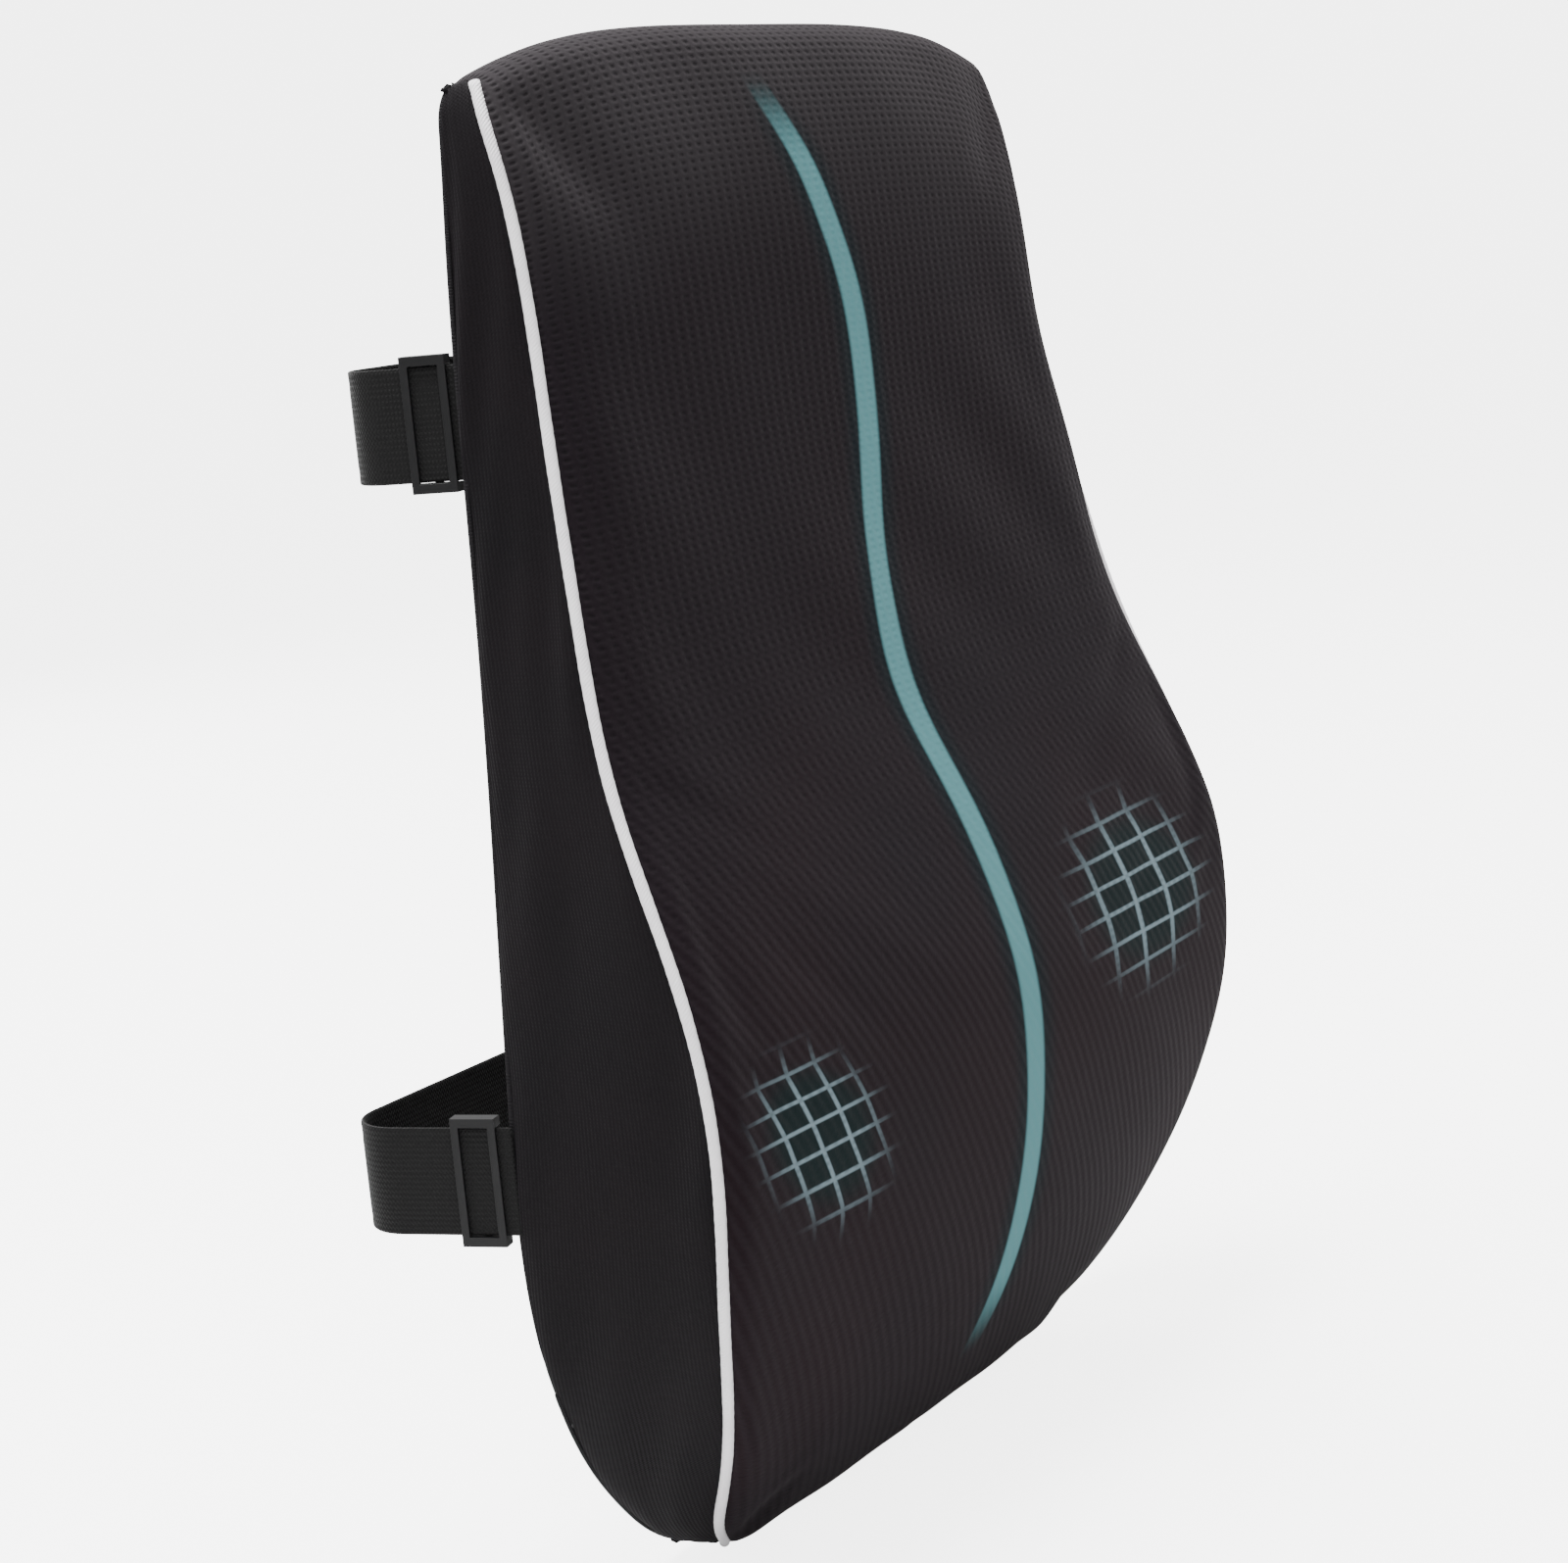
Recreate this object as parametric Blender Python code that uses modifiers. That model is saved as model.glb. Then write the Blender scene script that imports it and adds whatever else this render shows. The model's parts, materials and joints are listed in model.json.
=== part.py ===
"""Lumbar support cushion for an office chair: foam core, zipped cover and two buckled straps.

Metres, +Z up. The cushion stands on its length: -Y is the side that the sitter leans on, +Y the side
that lies against the chair, and +X is to the right as seen from the front. The origin is on the back
panel's outer face, at half the cushion's height.
"""

import math

import bmesh
import bpy
import numpy as np
from mathutils import Matrix, Vector

# ---------------------------------------------------------------- driving dimensions

CUSHION_HEIGHT = 0.450
CUSHION_WIDTH = 0.328  # the widest place, at the lumbar bulge
TOP_WIDTH = 0.290
TAPER = (0.30, 0.90)  # shares of the height between which the width narrows
CUSHION_DEPTH = 0.074  # back face to the side seam at the bulge
CROWN = 0.010  # how far the front's middle stands proud of its seams
BOTTOM_CORNER = (0.065, 0.120)  # how much narrower the foot is, and over what height
TOP_CORNER = (0.014, 0.022)
BACK_ROUNDING = (0.003, 0.012)  # depth and height of the roll at the back's ends

COVER = 0.0020  # air-mesh and gusset cloth
BACK_CLOTH = 0.0015
LINER = 0.0008
LINER_ROOM = 0.0014  # between the cover and the liner
FOAM_ROOM = 0.0008  # between the liner and the foam
GAP = 0.0003  # between pieces that touch

PIPING_RADIUS = 0.0025
PIPING_WALL = 0.0009
SEAM_ROOM = 0.0011  # between the piping and the edges of the panels beside it
CORE_ROOM = 0.0005  # between the piping's cover and its cord

ZIP_HEIGHT = 0.070  # above the cushion's foot
ZIP_MARGIN = 0.014  # side seam to the end of the teeth
ZIP_OPENING = 0.016
TAPE_WIDTH = 0.0125
TAPE = 0.0008
TOOTH_PITCH = 0.0050
TOOTH_REACH = 0.0016
TEETH_BAND = 0.0025  # middle line to the outer edge of one row
TEETH = 0.0012
STOP_LENGTH = 0.003

SLIDER_LENGTH = 0.0100
SLIDER_WALL = 0.0010
BAIL_WIDTH = 0.0016
BAIL_HEIGHT = 0.0026
BAIL_SHARE = 0.7  # bail's length as a share of the slider's
PULL_LENGTH = 0.026
PULL_WIDTH = 0.0075
PULL = 0.0012

WEBBING_WIDTH = 0.032
WEBBING = 0.0014
STRAP_HEIGHTS = {"upper": 0.355, "lower": 0.137}  # above the cushion's foot
STRAP_DEPTHS = {"upper": 0.042, "lower": 0.054}  # back face to the strap's far run
STRAP_BEND = 0.014
STRAP_LEAN = math.radians(15)  # outward lean of the run next to the seam
SEAM_INSET = 0.001  # side of the cushion to the middle of the strap sewn into its seam
TAIL = 0.022  # sewn-back end of each strap

EAR_RIM = 0.0049  # beside the webbing's slot
SOCKET_LENGTH = 0.030
SOCKET_WALL = 0.0024
SOCKET_FACE = 0.0018  # thickness of its front and back walls
WINDOW = (0.30, 0.85)  # shares of the prong's length where the side windows start and end
WINDOW_DEPTH = 0.9  # share of the cavity's depth
EAR_LENGTH = 0.0120  # slot and bar beyond the buckle's body
BAR_LENGTH = 0.0035
BAR_DEPTH = 0.0026
PLUG_BODY = 0.0105
PRONG_LENGTH = 0.0230
ARM_THICKNESS = 0.0030
ARM_DEPTH = 0.0046
ARM_ROOM = 0.0015  # between the arm and the socket's wall
ARM_CLEARANCE = 0.0005  # between the arm and the socket's front and back
PAD = (0.22, 0.36, 0.78)  # shares of the arm's length: the pad's slope, its flat and its end

ADJUSTER_LENGTH = 0.014
ADJUSTER_RIM = 0.0028
ADJUSTER_BAR = 0.0024
ADJUSTER_THICKNESS = 0.0012
ADJUSTER_PLACE = 0.003  # start of the strap to the adjuster's near edge

# Depth of the front seam, as shares of the cushion's height and depth.
FRONT_SHAPE = (
    (0.00, 0.27), (0.11, 0.65), (0.22, 0.89), (0.33, 1.00), (0.44, 0.89), (0.56, 0.65),
    (0.67, 0.49), (0.78, 0.41), (0.89, 0.35), (0.965, 0.30), (1.00, 0.22),
)
LEVELS = 26  # heights at which the body is worked out
EDGE_STEPS = 60  # points between two levels when an edge is moved in
BACK_LEVELS = 14
ACROSS = 8  # strips across the front
BACK_ACROSS = 4
SIDE_ACROSS = 3
ROLL = 3  # strips that carry the front under the foot and over the top
SLOPE_STEP = 0.004  # over which an edge's slope is measured

FOOT = -CUSHION_HEIGHT / 2
LINER_INSET = COVER + LINER_ROOM
FOAM_INSET = LINER_INSET + LINER + FOAM_ROOM
PIPING_SEAT = PIPING_RADIUS + SEAM_ROOM
CORE_RADIUS = PIPING_RADIUS - PIPING_WALL - CORE_ROOM
SLOT = WEBBING_WIDTH / 2 + 2 * GAP  # half the length of a slot for the webbing
BUCKLE_HEIGHT = 2 * (SLOT + EAR_RIM)  # across the webbing
BUCKLE_DEPTH = ARM_DEPTH + 2 * (ARM_CLEARANCE + SOCKET_FACE)


# ---------------------------------------------------------------- the cushion's form

def smooth(knots, values, t):
    """A curve through the knots whose slope at each knot is that of its neighbours."""
    knots, values = np.array(knots), np.array(values)
    slopes = np.gradient(values, knots)
    i = np.clip(np.searchsorted(knots, t, side="right") - 1, 0, len(knots) - 2)
    width = knots[i + 1] - knots[i]
    s = (t - knots[i]) / width
    return (
        (2 * s**3 - 3 * s**2 + 1) * values[i]
        + (s**3 - 2 * s**2 + s) * width * slopes[i]
        + (3 * s**2 - 2 * s**3) * values[i + 1]
        + (s**3 - s**2) * width * slopes[i + 1]
    )


def quarter_round(distance, reach):
    """0 outside the reach of a corner, rising as a quarter ellipse to 1 at its end."""
    q = np.clip(1 - distance / reach, 0, 1)
    return 1 - np.sqrt(1 - q**2)


def half_width(z):
    """Half the cushion's width at this height above its foot."""
    rise = np.clip((z / CUSHION_HEIGHT - TAPER[0]) / (TAPER[1] - TAPER[0]), 0, 1)
    ease = rise**2 * (3 - 2 * rise)
    width = CUSHION_WIDTH / 2 + (TOP_WIDTH - CUSHION_WIDTH) / 2 * ease
    width = width - BOTTOM_CORNER[0] * quarter_round(z, BOTTOM_CORNER[1])
    return width - TOP_CORNER[0] * quarter_round(CUSHION_HEIGHT - z, TOP_CORNER[1])


def front_seam(z):
    """Y of the side seam of the front at this height above the foot."""
    knots, shares = zip(*FRONT_SHAPE)
    return -CUSHION_DEPTH * smooth(knots, shares, z / CUSHION_HEIGHT)


def back_face(z):
    """Y of the back at this height: flat, and rolled forward at both ends."""
    depth, reach = BACK_ROUNDING
    return -depth * (quarter_round(z, reach) + quarter_round(CUSHION_HEIGHT - z, reach))


def levels(inset=0.0, low=0.0, high=CUSHION_HEIGHT, count=LEVELS):
    """Heights above the foot, closer together near both ends."""
    share = (1 - np.cos(np.linspace(0, math.pi, count))) / 2
    return low + inset + (high - low - 2 * inset) * share


def outline(z):
    """Half the width of the panels, which are straight from level to level."""
    return np.interp(z, levels(), half_width(levels()))


def moved_in(z, inset):
    """Half the width of the outline moved in square to itself, as a disc rolled along it leaves."""
    corners = levels()
    edge_z = np.interp(np.linspace(0, LEVELS - 1, (LEVELS - 1) * EDGE_STEPS + 1), range(LEVELS), corners)
    square = inset**2 - (z[:, None] - edge_z) ** 2
    limit = outline(edge_z) - np.sqrt(np.maximum(square, 0))
    return np.where(square > 0, limit, np.inf).min(axis=1)


def lean(edge, z):
    """How much further an edge lies along its own axis than square to itself."""
    low = np.clip(z - SLOPE_STEP, 0, CUSHION_HEIGHT)
    high = np.clip(z + SLOPE_STEP, 0, CUSHION_HEIGHT)
    return np.sqrt(1 + ((edge(high) - edge(low)) / (high - low)) ** 2)


def body_loop(z, inset):
    """Half width, front y, back y and world z of the body, this far inside the cover."""
    outer = (z - inset) / (CUSHION_HEIGHT - 2 * inset) * CUSHION_HEIGHT
    return (
        half_width(outer) - inset * lean(half_width, outer),
        front_seam(outer) + inset * lean(front_seam, outer),
        back_face(outer) - inset,
        z + FOOT,
    )


# ---------------------------------------------------------------- making objects

def clear_scene():
    for obj in list(bpy.data.objects):
        bpy.data.objects.remove(obj, do_unlink=True)


def collection(name):
    made = bpy.data.collections.new(name)
    bpy.context.scene.collection.children.link(made)
    return made


def material(name, colour, roughness, metallic=0.0):
    made = bpy.data.materials.new(name)
    made.use_nodes = True
    shader = made.node_tree.nodes["Principled BSDF"]
    shader.inputs["Base Color"].default_value = (*colour, 1)
    shader.inputs["Roughness"].default_value = roughness
    shader.inputs["Metallic"].default_value = metallic
    return made


def add_object(name, data, looks):
    obj = bpy.data.objects.new(name, data)
    PARTS.objects.link(obj)
    data.materials.append(looks)
    return obj


def mesh_object(name, points, faces, looks):
    """An object from points and faces, with its normals turned outward."""
    mesh = bpy.data.meshes.new(name)
    mesh.from_pydata([tuple(map(float, p)) for p in points], [], faces)
    shape = bmesh.new()
    shape.from_mesh(mesh)
    bmesh.ops.recalc_face_normals(shape, faces=shape.faces)
    shape.to_mesh(mesh)
    shape.free()
    return add_object(name, mesh, looks)


def grid_faces(rows, columns, start=0):
    """The four-sided faces of a grid of points held row by row."""
    return [
        (
            start + i * columns + j,
            start + i * columns + j + 1,
            start + (i + 1) * columns + j + 1,
            start + (i + 1) * columns + j,
        )
        for i in range(rows - 1)
        for j in range(columns - 1)
    ]


def sheet(name, grid, thickness, inward, looks):
    """A cloth panel: a grid of points, given its thickness towards the point inward."""
    rows, columns = grid.shape[:2]
    obj = mesh_object(name, grid.reshape(-1, 3), grid_faces(rows, columns), looks)
    middle = obj.data.polygons[len(obj.data.polygons) // 2]
    if middle.normal.dot(Vector(inward) - middle.center) > 0:
        obj.data.flip_normals()
    solid = obj.modifiers.new("thickness", "SOLIDIFY")
    solid.thickness = thickness
    solid.offset = -1
    solid.use_even_offset = True
    return obj


def box_mesh(name, low, high):
    """A box between two corners."""
    low, high = Vector(low), Vector(high)
    mesh = bpy.data.meshes.new(name)
    shape = bmesh.new()
    place = Matrix.Translation((low + high) / 2) @ Matrix.Diagonal((*(high - low), 1))
    bmesh.ops.create_cube(shape, size=1, matrix=place)
    shape.to_mesh(mesh)
    shape.free()
    return mesh


def box(name, low, high, looks):
    return add_object(name, box_mesh(name, low, high), looks)


def helper_box(target, name, low, high, operation):
    """Cuts a box out of the target, or joins one to it."""
    helper = bpy.data.objects.new(f"{target.name}_{name}", box_mesh(name, low, high))
    CUTTERS.objects.link(helper)
    helper.parent = target
    use_helper(target, helper, operation)


def use_helper(target, helper, operation):
    helper.hide_render = True
    helper.display_type = "WIRE"
    step = target.modifiers.new(helper.name, "BOOLEAN")
    step.operation = operation
    step.object = helper


def soften(obj, width):
    """Rounds the moulded edges."""
    bevel = obj.modifiers.new("edges", "BEVEL")
    bevel.width = width
    bevel.segments = 1
    bevel.limit_method = "ANGLE"
    bevel.angle_limit = math.radians(50)


def flat_curve(name, outlines, thickness, looks):
    """A flat piece: closed outlines in the XY plane, the later ones being holes."""
    curve = bpy.data.curves.new(name, "CURVE")
    curve.dimensions = "2D"
    curve.fill_mode = "BOTH"
    curve.extrude = thickness / 2
    for outline in outlines:
        line = curve.splines.new("POLY")
        line.points.add(len(outline) - 1)
        line.points.foreach_set("co", [v for x, y in outline for v in (x, y, 0.0, 1.0)])
        line.use_cyclic_u = True
    return add_object(name, curve, looks)


def as_mesh(obj):
    """The same object as a mesh, with the loose caps of its curve welded on."""
    graph = bpy.context.evaluated_depsgraph_get()
    mesh = bpy.data.meshes.new_from_object(obj.evaluated_get(graph))
    shape = bmesh.new()
    shape.from_mesh(mesh)
    bmesh.ops.remove_doubles(shape, verts=shape.verts, dist=1e-6)
    bmesh.ops.recalc_face_normals(shape, faces=shape.faces)
    shape.to_mesh(mesh)
    shape.free()
    name, looks = obj.name, obj.data.materials[0]
    place = obj.matrix_world.copy()
    bpy.data.objects.remove(obj)
    mesh.materials.clear()
    made = add_object(name, mesh, looks)
    made.matrix_world = place
    return made


def tube(name, path, radius, resolution, caps, looks):
    """A round cord or cover along a path of points."""
    curve = bpy.data.curves.new(name, "CURVE")
    curve.dimensions = "3D"
    curve.bevel_depth = radius
    curve.bevel_resolution = resolution
    curve.use_fill_caps = caps
    line = curve.splines.new("POLY")
    line.points.add(len(path) - 1)
    line.points.foreach_set("co", [v for p in path for v in (*map(float, p), 1.0)])
    return add_object(name, curve, looks)


def arc(centre, radius, start, end, count):
    """Points on an arc, its angles in degrees."""
    turn = np.radians(np.linspace(start, end, count))
    return [(centre[0] + radius * math.cos(a), centre[1] + radius * math.sin(a)) for a in turn]


def ribbon(path, thickness):
    """The outline of a band of this thickness along a path in the XY plane."""
    path = np.array(path)
    ahead = np.gradient(path, axis=0)
    ahead /= np.linalg.norm(ahead, axis=1)[:, None]
    side = np.stack([-ahead[:, 1], ahead[:, 0]], axis=1) * thickness / 2
    return [tuple(p) for p in np.concatenate([path + side, (path - side)[::-1]])]


# ---------------------------------------------------------------- foam and cover

def body_solid(name, inset, looks, open_foot=False):
    """The whole body as a loft from side to side, with its foot left open for a sleeve."""
    z = levels(inset)
    half, front, back, height = body_loop(z, inset)
    count = len(z)
    across = np.linspace(-1, 1, ACROSS + 1)
    loops = []
    for u in across:
        bow = CROWN * (1 - u**2)
        rise = np.stack([u * half, front - bow, height], axis=1)
        fall = np.stack([u * half, back, height], axis=1)[::-1]
        loops.append(np.concatenate([rise, fall]))
    around = 2 * count
    faces = []
    for k in range(ACROSS):
        here, beside = k * around, (k + 1) * around
        for i in range(around - 1 if open_foot else around):
            j = (i + 1) % around
            faces.append((here + i, here + j, beside + j, beside + i))
    for k in (0, ACROSS):
        for i in range(count - 1):
            near, far = k * around + i, k * around + around - 1 - i
            faces.append((near, near + 1, far - 1, far))
    return mesh_object(name, np.concatenate(loops), faces, looks)


def make_foam():
    body_solid("foam_core", FOAM_INSET, material("foam", (0.86, 0.83, 0.74), 0.9))
    cloth = material("liner_cloth", (0.75, 0.75, 0.75), 0.9)
    liner = body_solid("foam_liner", LINER_INSET, cloth, open_foot=True)
    wall = liner.modifiers.new("thickness", "SOLIDIFY")
    wall.thickness = LINER
    wall.offset = -1
    wall.use_even_offset = True


def make_front(looks):
    """Air-mesh that starts under the foot, rises over the front and rolls over the top."""
    z = levels()
    half, front, back, height = body_loop(z, 0.0)
    foot_y = np.linspace(back[0] - GAP, front[0], ROLL + 1)[:-1]
    top_y = np.linspace(front[-1], back[-1] - GAP, ROLL + 1)[1:]
    depth = np.concatenate([foot_y, front, top_y])
    edge = moved_in(z, PIPING_SEAT)
    edge, height = (np.pad(values, ROLL, mode="edge") for values in (edge, height))
    reach = np.ones(len(depth))
    reach[:ROLL] = np.arange(ROLL) / ROLL
    reach[-ROLL:] = reach[:ROLL][::-1]
    across = np.linspace(-1, 1, ACROSS + 1)
    grid = np.empty((len(depth), len(across), 3))
    grid[..., 0] = across * edge[:, None]
    grid[..., 1] = depth[:, None] - CROWN * reach[:, None] * (1 - across**2)
    grid[..., 2] = height[:, None]
    return sheet("front_panel", grid, COVER, (0, -CUSHION_DEPTH / 2, 0), looks)


def make_sides(looks):
    """The two gussets between the piping and the back."""
    z = np.unique(np.clip(levels(), PIPING_SEAT, CUSHION_HEIGHT - PIPING_SEAT))
    _, front, back, height = body_loop(z, 0.0)
    share = np.linspace(0, 1, SIDE_ACROSS + 1)
    for name, sign in (("side_panel_left", -1), ("side_panel_right", 1)):
        start = front + PIPING_SEAT * lean(front_seam, z)
        grid = np.empty((len(z), len(share), 3))
        grid[..., 0] = sign * outline(z)[:, None]
        grid[..., 1] = start[:, None] + share * (back - start)[:, None]
        grid[..., 2] = height[:, None]
        sheet(name, grid, COVER, (0, -CUSHION_DEPTH / 2, 0), looks)


def make_back(looks):
    """The back cloth above and below the zip."""
    end_gap = COVER + GAP
    spans = {
        "back_panel_lower": (end_gap, ZIP_HEIGHT - ZIP_OPENING / 2),
        "back_panel_upper": (ZIP_HEIGHT + ZIP_OPENING / 2, CUSHION_HEIGHT - end_gap),
    }
    for name, (low, high) in spans.items():
        z = levels(0.0, low, high, BACK_LEVELS)
        across = np.linspace(-1, 1, BACK_ACROSS + 1)
        grid = np.empty((len(z), len(across), 3))
        grid[..., 0] = across * moved_in(z, end_gap)[:, None]
        grid[..., 1] = back_face(z)[:, None]
        grid[..., 2] = z[:, None] + FOOT
        sheet(name, grid, BACK_CLOTH, (0, -CUSHION_DEPTH / 2, 0), looks)


def make_piping(looks, core_looks):
    """White piping down each front seam, over the top and under the foot, with its cord inside."""
    z = levels()
    half, front, back, height = body_loop(z, 0.0)
    for side, sign in (("left", -1), ("right", 1)):
        line = np.stack([sign * half, front, height], axis=1)
        foot = line[0] + [0, back[0] - GAP - front[0], 0]
        top = line[-1] + [0, back[-1] - GAP - front[-1], 0]
        path = np.concatenate([[foot], line, [top]])
        tube(f"piping_core_{side}", path, CORE_RADIUS, 1, True, core_looks)
        cover = as_mesh(tube(f"piping_{side}", path, PIPING_RADIUS, 2, False, looks))
        wall = cover.modifiers.new("wall", "SOLIDIFY")
        wall.thickness = PIPING_WALL
        wall.offset = -1


# ---------------------------------------------------------------- zip

def comb(length, shift, sign):
    """One row of teeth, its back edge straight and its teeth reaching past the middle line."""
    root = GAP + TOOTH_REACH / 2
    count = int(length / TOOTH_PITCH) - 1
    width = TOOTH_PITCH / 2 - 2 * GAP
    first = -count * TOOTH_PITCH / 2 + shift
    end, tip = length / 2, -TOOTH_REACH / 2
    outline = [(end, root), (end, TEETH_BAND), (-end, TEETH_BAND), (-end, root)]
    for k in range(count):
        left = first + k * TOOTH_PITCH
        outline += [(left, root), (left, tip), (left + width, tip), (left + width, root)]
    return [(x, sign * y) for x, y in outline]


def stand_up(obj, place):
    """Stands a flat piece up at a place, so that its outline's Y points up."""
    obj.matrix_world = Matrix.Translation(place) @ Matrix.Rotation(math.pi / 2, 4, "X")


def zip_reach():
    return float(half_width(ZIP_HEIGHT)) - ZIP_MARGIN


def make_zip():
    cloth = material("zip_tape", (0.02, 0.02, 0.022), 0.8)
    plastic = material("zip_plastic", (0.03, 0.03, 0.032), 0.45)
    metal = material("zip_metal", (0.12, 0.12, 0.13), 0.35, 1.0)
    reach = zip_reach()
    tape_y = -BACK_CLOTH - GAP - TAPE
    half = float(half_width(ZIP_HEIGHT - TAPE_WIDTH)) - COVER - 4 * GAP
    middle = ZIP_HEIGHT + FOOT
    for name, sign in (("zip_tape_upper", 1), ("zip_tape_lower", -1)):
        edges = sorted((middle + sign * GAP, middle + sign * (GAP + TAPE_WIDTH)))
        box(name, (-half, tape_y, edges[0]), (half, tape_y + TAPE, edges[1]), cloth)
    teeth_y = -BACK_CLOTH + TEETH / 2
    rows = (("zip_teeth_upper", 0.0, 1), ("zip_teeth_lower", TOOTH_PITCH / 2, -1))
    for name, shift, sign in rows:
        teeth = flat_curve(name, [comb(2 * reach, shift, sign)], TEETH, plastic)
        stand_up(teeth, (0, teeth_y, middle))
    stop_y = tape_y + TAPE + GAP
    for name, sign in (("zip_stop_left", -1), ("zip_stop_right", 1)):
        ends = sorted((sign * (reach + GAP), sign * (reach + GAP + STOP_LENGTH)))
        low = (ends[0], stop_y, middle - TEETH_BAND)
        high = (ends[1], stop_y + 2 * TEETH, middle + TEETH_BAND)
        box(name, low, high, metal)
    make_slider(teeth_y, middle, reach, metal)


def make_slider(teeth_y, middle, reach, looks):
    """The slider straddles the teeth, and its pull turns on a bar under the bail."""
    start = -reach + SLIDER_LENGTH / 2
    root = bpy.data.objects.new("zip_slider_place", None)
    PARTS.objects.link(root)
    root.location = (start, teeth_y, middle)
    face = TEETH / 2 + GAP
    flank = TEETH_BAND + GAP
    half = SLIDER_LENGTH / 2
    top = face + SLIDER_WALL
    wall = flank + SLIDER_WALL
    slider = box("zip_slider", (-half, face, -wall), (half, top, wall), looks)
    slider.parent = root
    for name, sign in (("upper_flange", 1), ("lower_flange", -1)):
        ends = sorted((sign * flank, sign * wall))
        low, high = (-half, -TEETH / 2, ends[0]), (half, top - SLIDER_WALL / 2, ends[1])
        helper_box(slider, name, low, high, "UNION")
    post = half * BAIL_SHARE
    rail = BAIL_WIDTH / 2
    low, high = (-post, top - SLIDER_WALL / 2, -rail), (post, top + BAIL_HEIGHT, rail)
    helper_box(slider, "bail", low, high, "UNION")
    inner = post - SLIDER_WALL
    room = top + PULL + 2 * GAP
    helper_box(slider, "bail_eye", (-inner, top, -BAIL_WIDTH), (inner, room, BAIL_WIDTH), "DIFFERENCE")
    # The pull lies flat, and its hinge is the middle of its end bar.
    bar = PULL / 2
    eye = post + bar + 3 * GAP
    side = BAIL_WIDTH / 2 + GAP
    neck = side + 2 * bar
    outline = [(-bar, -neck), (eye, -neck), (eye + neck, -PULL_WIDTH / 2)]
    outline += arc((PULL_LENGTH - PULL_WIDTH / 2, 0), PULL_WIDTH / 2, -90, 90, 7)
    outline += [(eye + neck, PULL_WIDTH / 2), (eye, neck), (-bar, neck)]
    hole = [(bar, -side), (bar, side), (eye, side), (eye, -side)]
    pull = flat_curve("zip_pull", [outline, hole], PULL, looks)
    stand_up(pull, (start, teeth_y + top + GAP + bar, middle))


# ---------------------------------------------------------------- straps

def loop_path(seam_x, depth, end_x):
    """Webbing from the left seam, out along a straight run, round a bend and along the far run."""
    heading = math.pi / 2 + STRAP_LEAN
    start = np.array([seam_x, GAP])
    rise = STRAP_BEND * (1 - math.cos(heading))
    run = (depth - GAP - rise) / math.sin(heading)
    ahead = np.array([math.cos(heading), math.sin(heading)])
    corner = start + run * ahead
    centre = corner + STRAP_BEND * np.array([math.sin(heading), -math.cos(heading)])
    bend = arc(centre, STRAP_BEND, math.degrees(heading) + 90, 90, 9)
    far = [(x, depth) for x in np.linspace(centre[0], end_x, 7)[1:]]
    return [tuple(start), tuple(start + run / 2 * ahead)] + bend + far


def tail_path(bar_x, depth):
    """The webbing's fold round the bar at bar_x and its sewn-back tail."""
    reach = BAR_DEPTH / 2 + GAP + WEBBING / 2 + GAP / 3
    close = WEBBING / 2 + GAP / 2
    spread = [(bar_x - TAIL * 0.55, depth - close), (bar_x - BAR_LENGTH, depth - reach)]
    turn = arc((bar_x + BAR_LENGTH / 2, depth), reach, -90, 90, 7)
    meet = [(x, 2 * depth - y) for x, y in spread[::-1]]
    return spread + turn + meet + [(bar_x - TAIL, depth + close)]


def webbing(name, seam_x, depth, bar_x, height, looks):
    """One length of strap on the left side, from its seam to its fold round a buckle bar."""
    close = WEBBING / 2 + GAP / 2
    path = loop_path(seam_x, depth - close, bar_x - TAIL) + tail_path(bar_x, depth)
    piece = flat_curve(name, [ribbon(path, WEBBING)], WEBBING_WIDTH, looks)
    piece.location = (0, 0, height)
    return piece


def make_socket(name, mouth, looks):
    """Buckle socket: its mouth faces +X, with a window at each edge and a slotted ear behind."""
    tall, deep = BUCKLE_HEIGHT / 2, BUCKLE_DEPTH / 2
    socket = box(name, (-SOCKET_LENGTH, -deep, -tall), (0, deep, tall), looks)
    socket.location = mouth
    inner_tall, inner_deep = tall - SOCKET_WALL, deep - SOCKET_FACE
    ear = -SOCKET_LENGTH - EAR_LENGTH
    low, high = (ear, -BAR_DEPTH / 2, -tall), (-SOCKET_LENGTH + SOCKET_WALL, BAR_DEPTH / 2, tall)
    helper_box(socket, "ear", low, high, "UNION")
    low = (-PRONG_LENGTH - SOCKET_WALL, -inner_deep, -inner_tall)
    helper_box(socket, "cavity", low, (SOCKET_WALL, inner_deep, inner_tall), "DIFFERENCE")
    clear = inner_deep * WINDOW_DEPTH
    low = (-PRONG_LENGTH * WINDOW[1], -clear, -tall - SOCKET_WALL)
    high = (-PRONG_LENGTH * WINDOW[0], clear, tall + SOCKET_WALL)
    helper_box(socket, "windows", low, high, "DIFFERENCE")
    low, high = (ear + BAR_LENGTH, -deep * 2, -SLOT), (-SOCKET_LENGTH - GAP, deep * 2, SLOT)
    helper_box(socket, "slot", low, high, "DIFFERENCE")
    return socket


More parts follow.
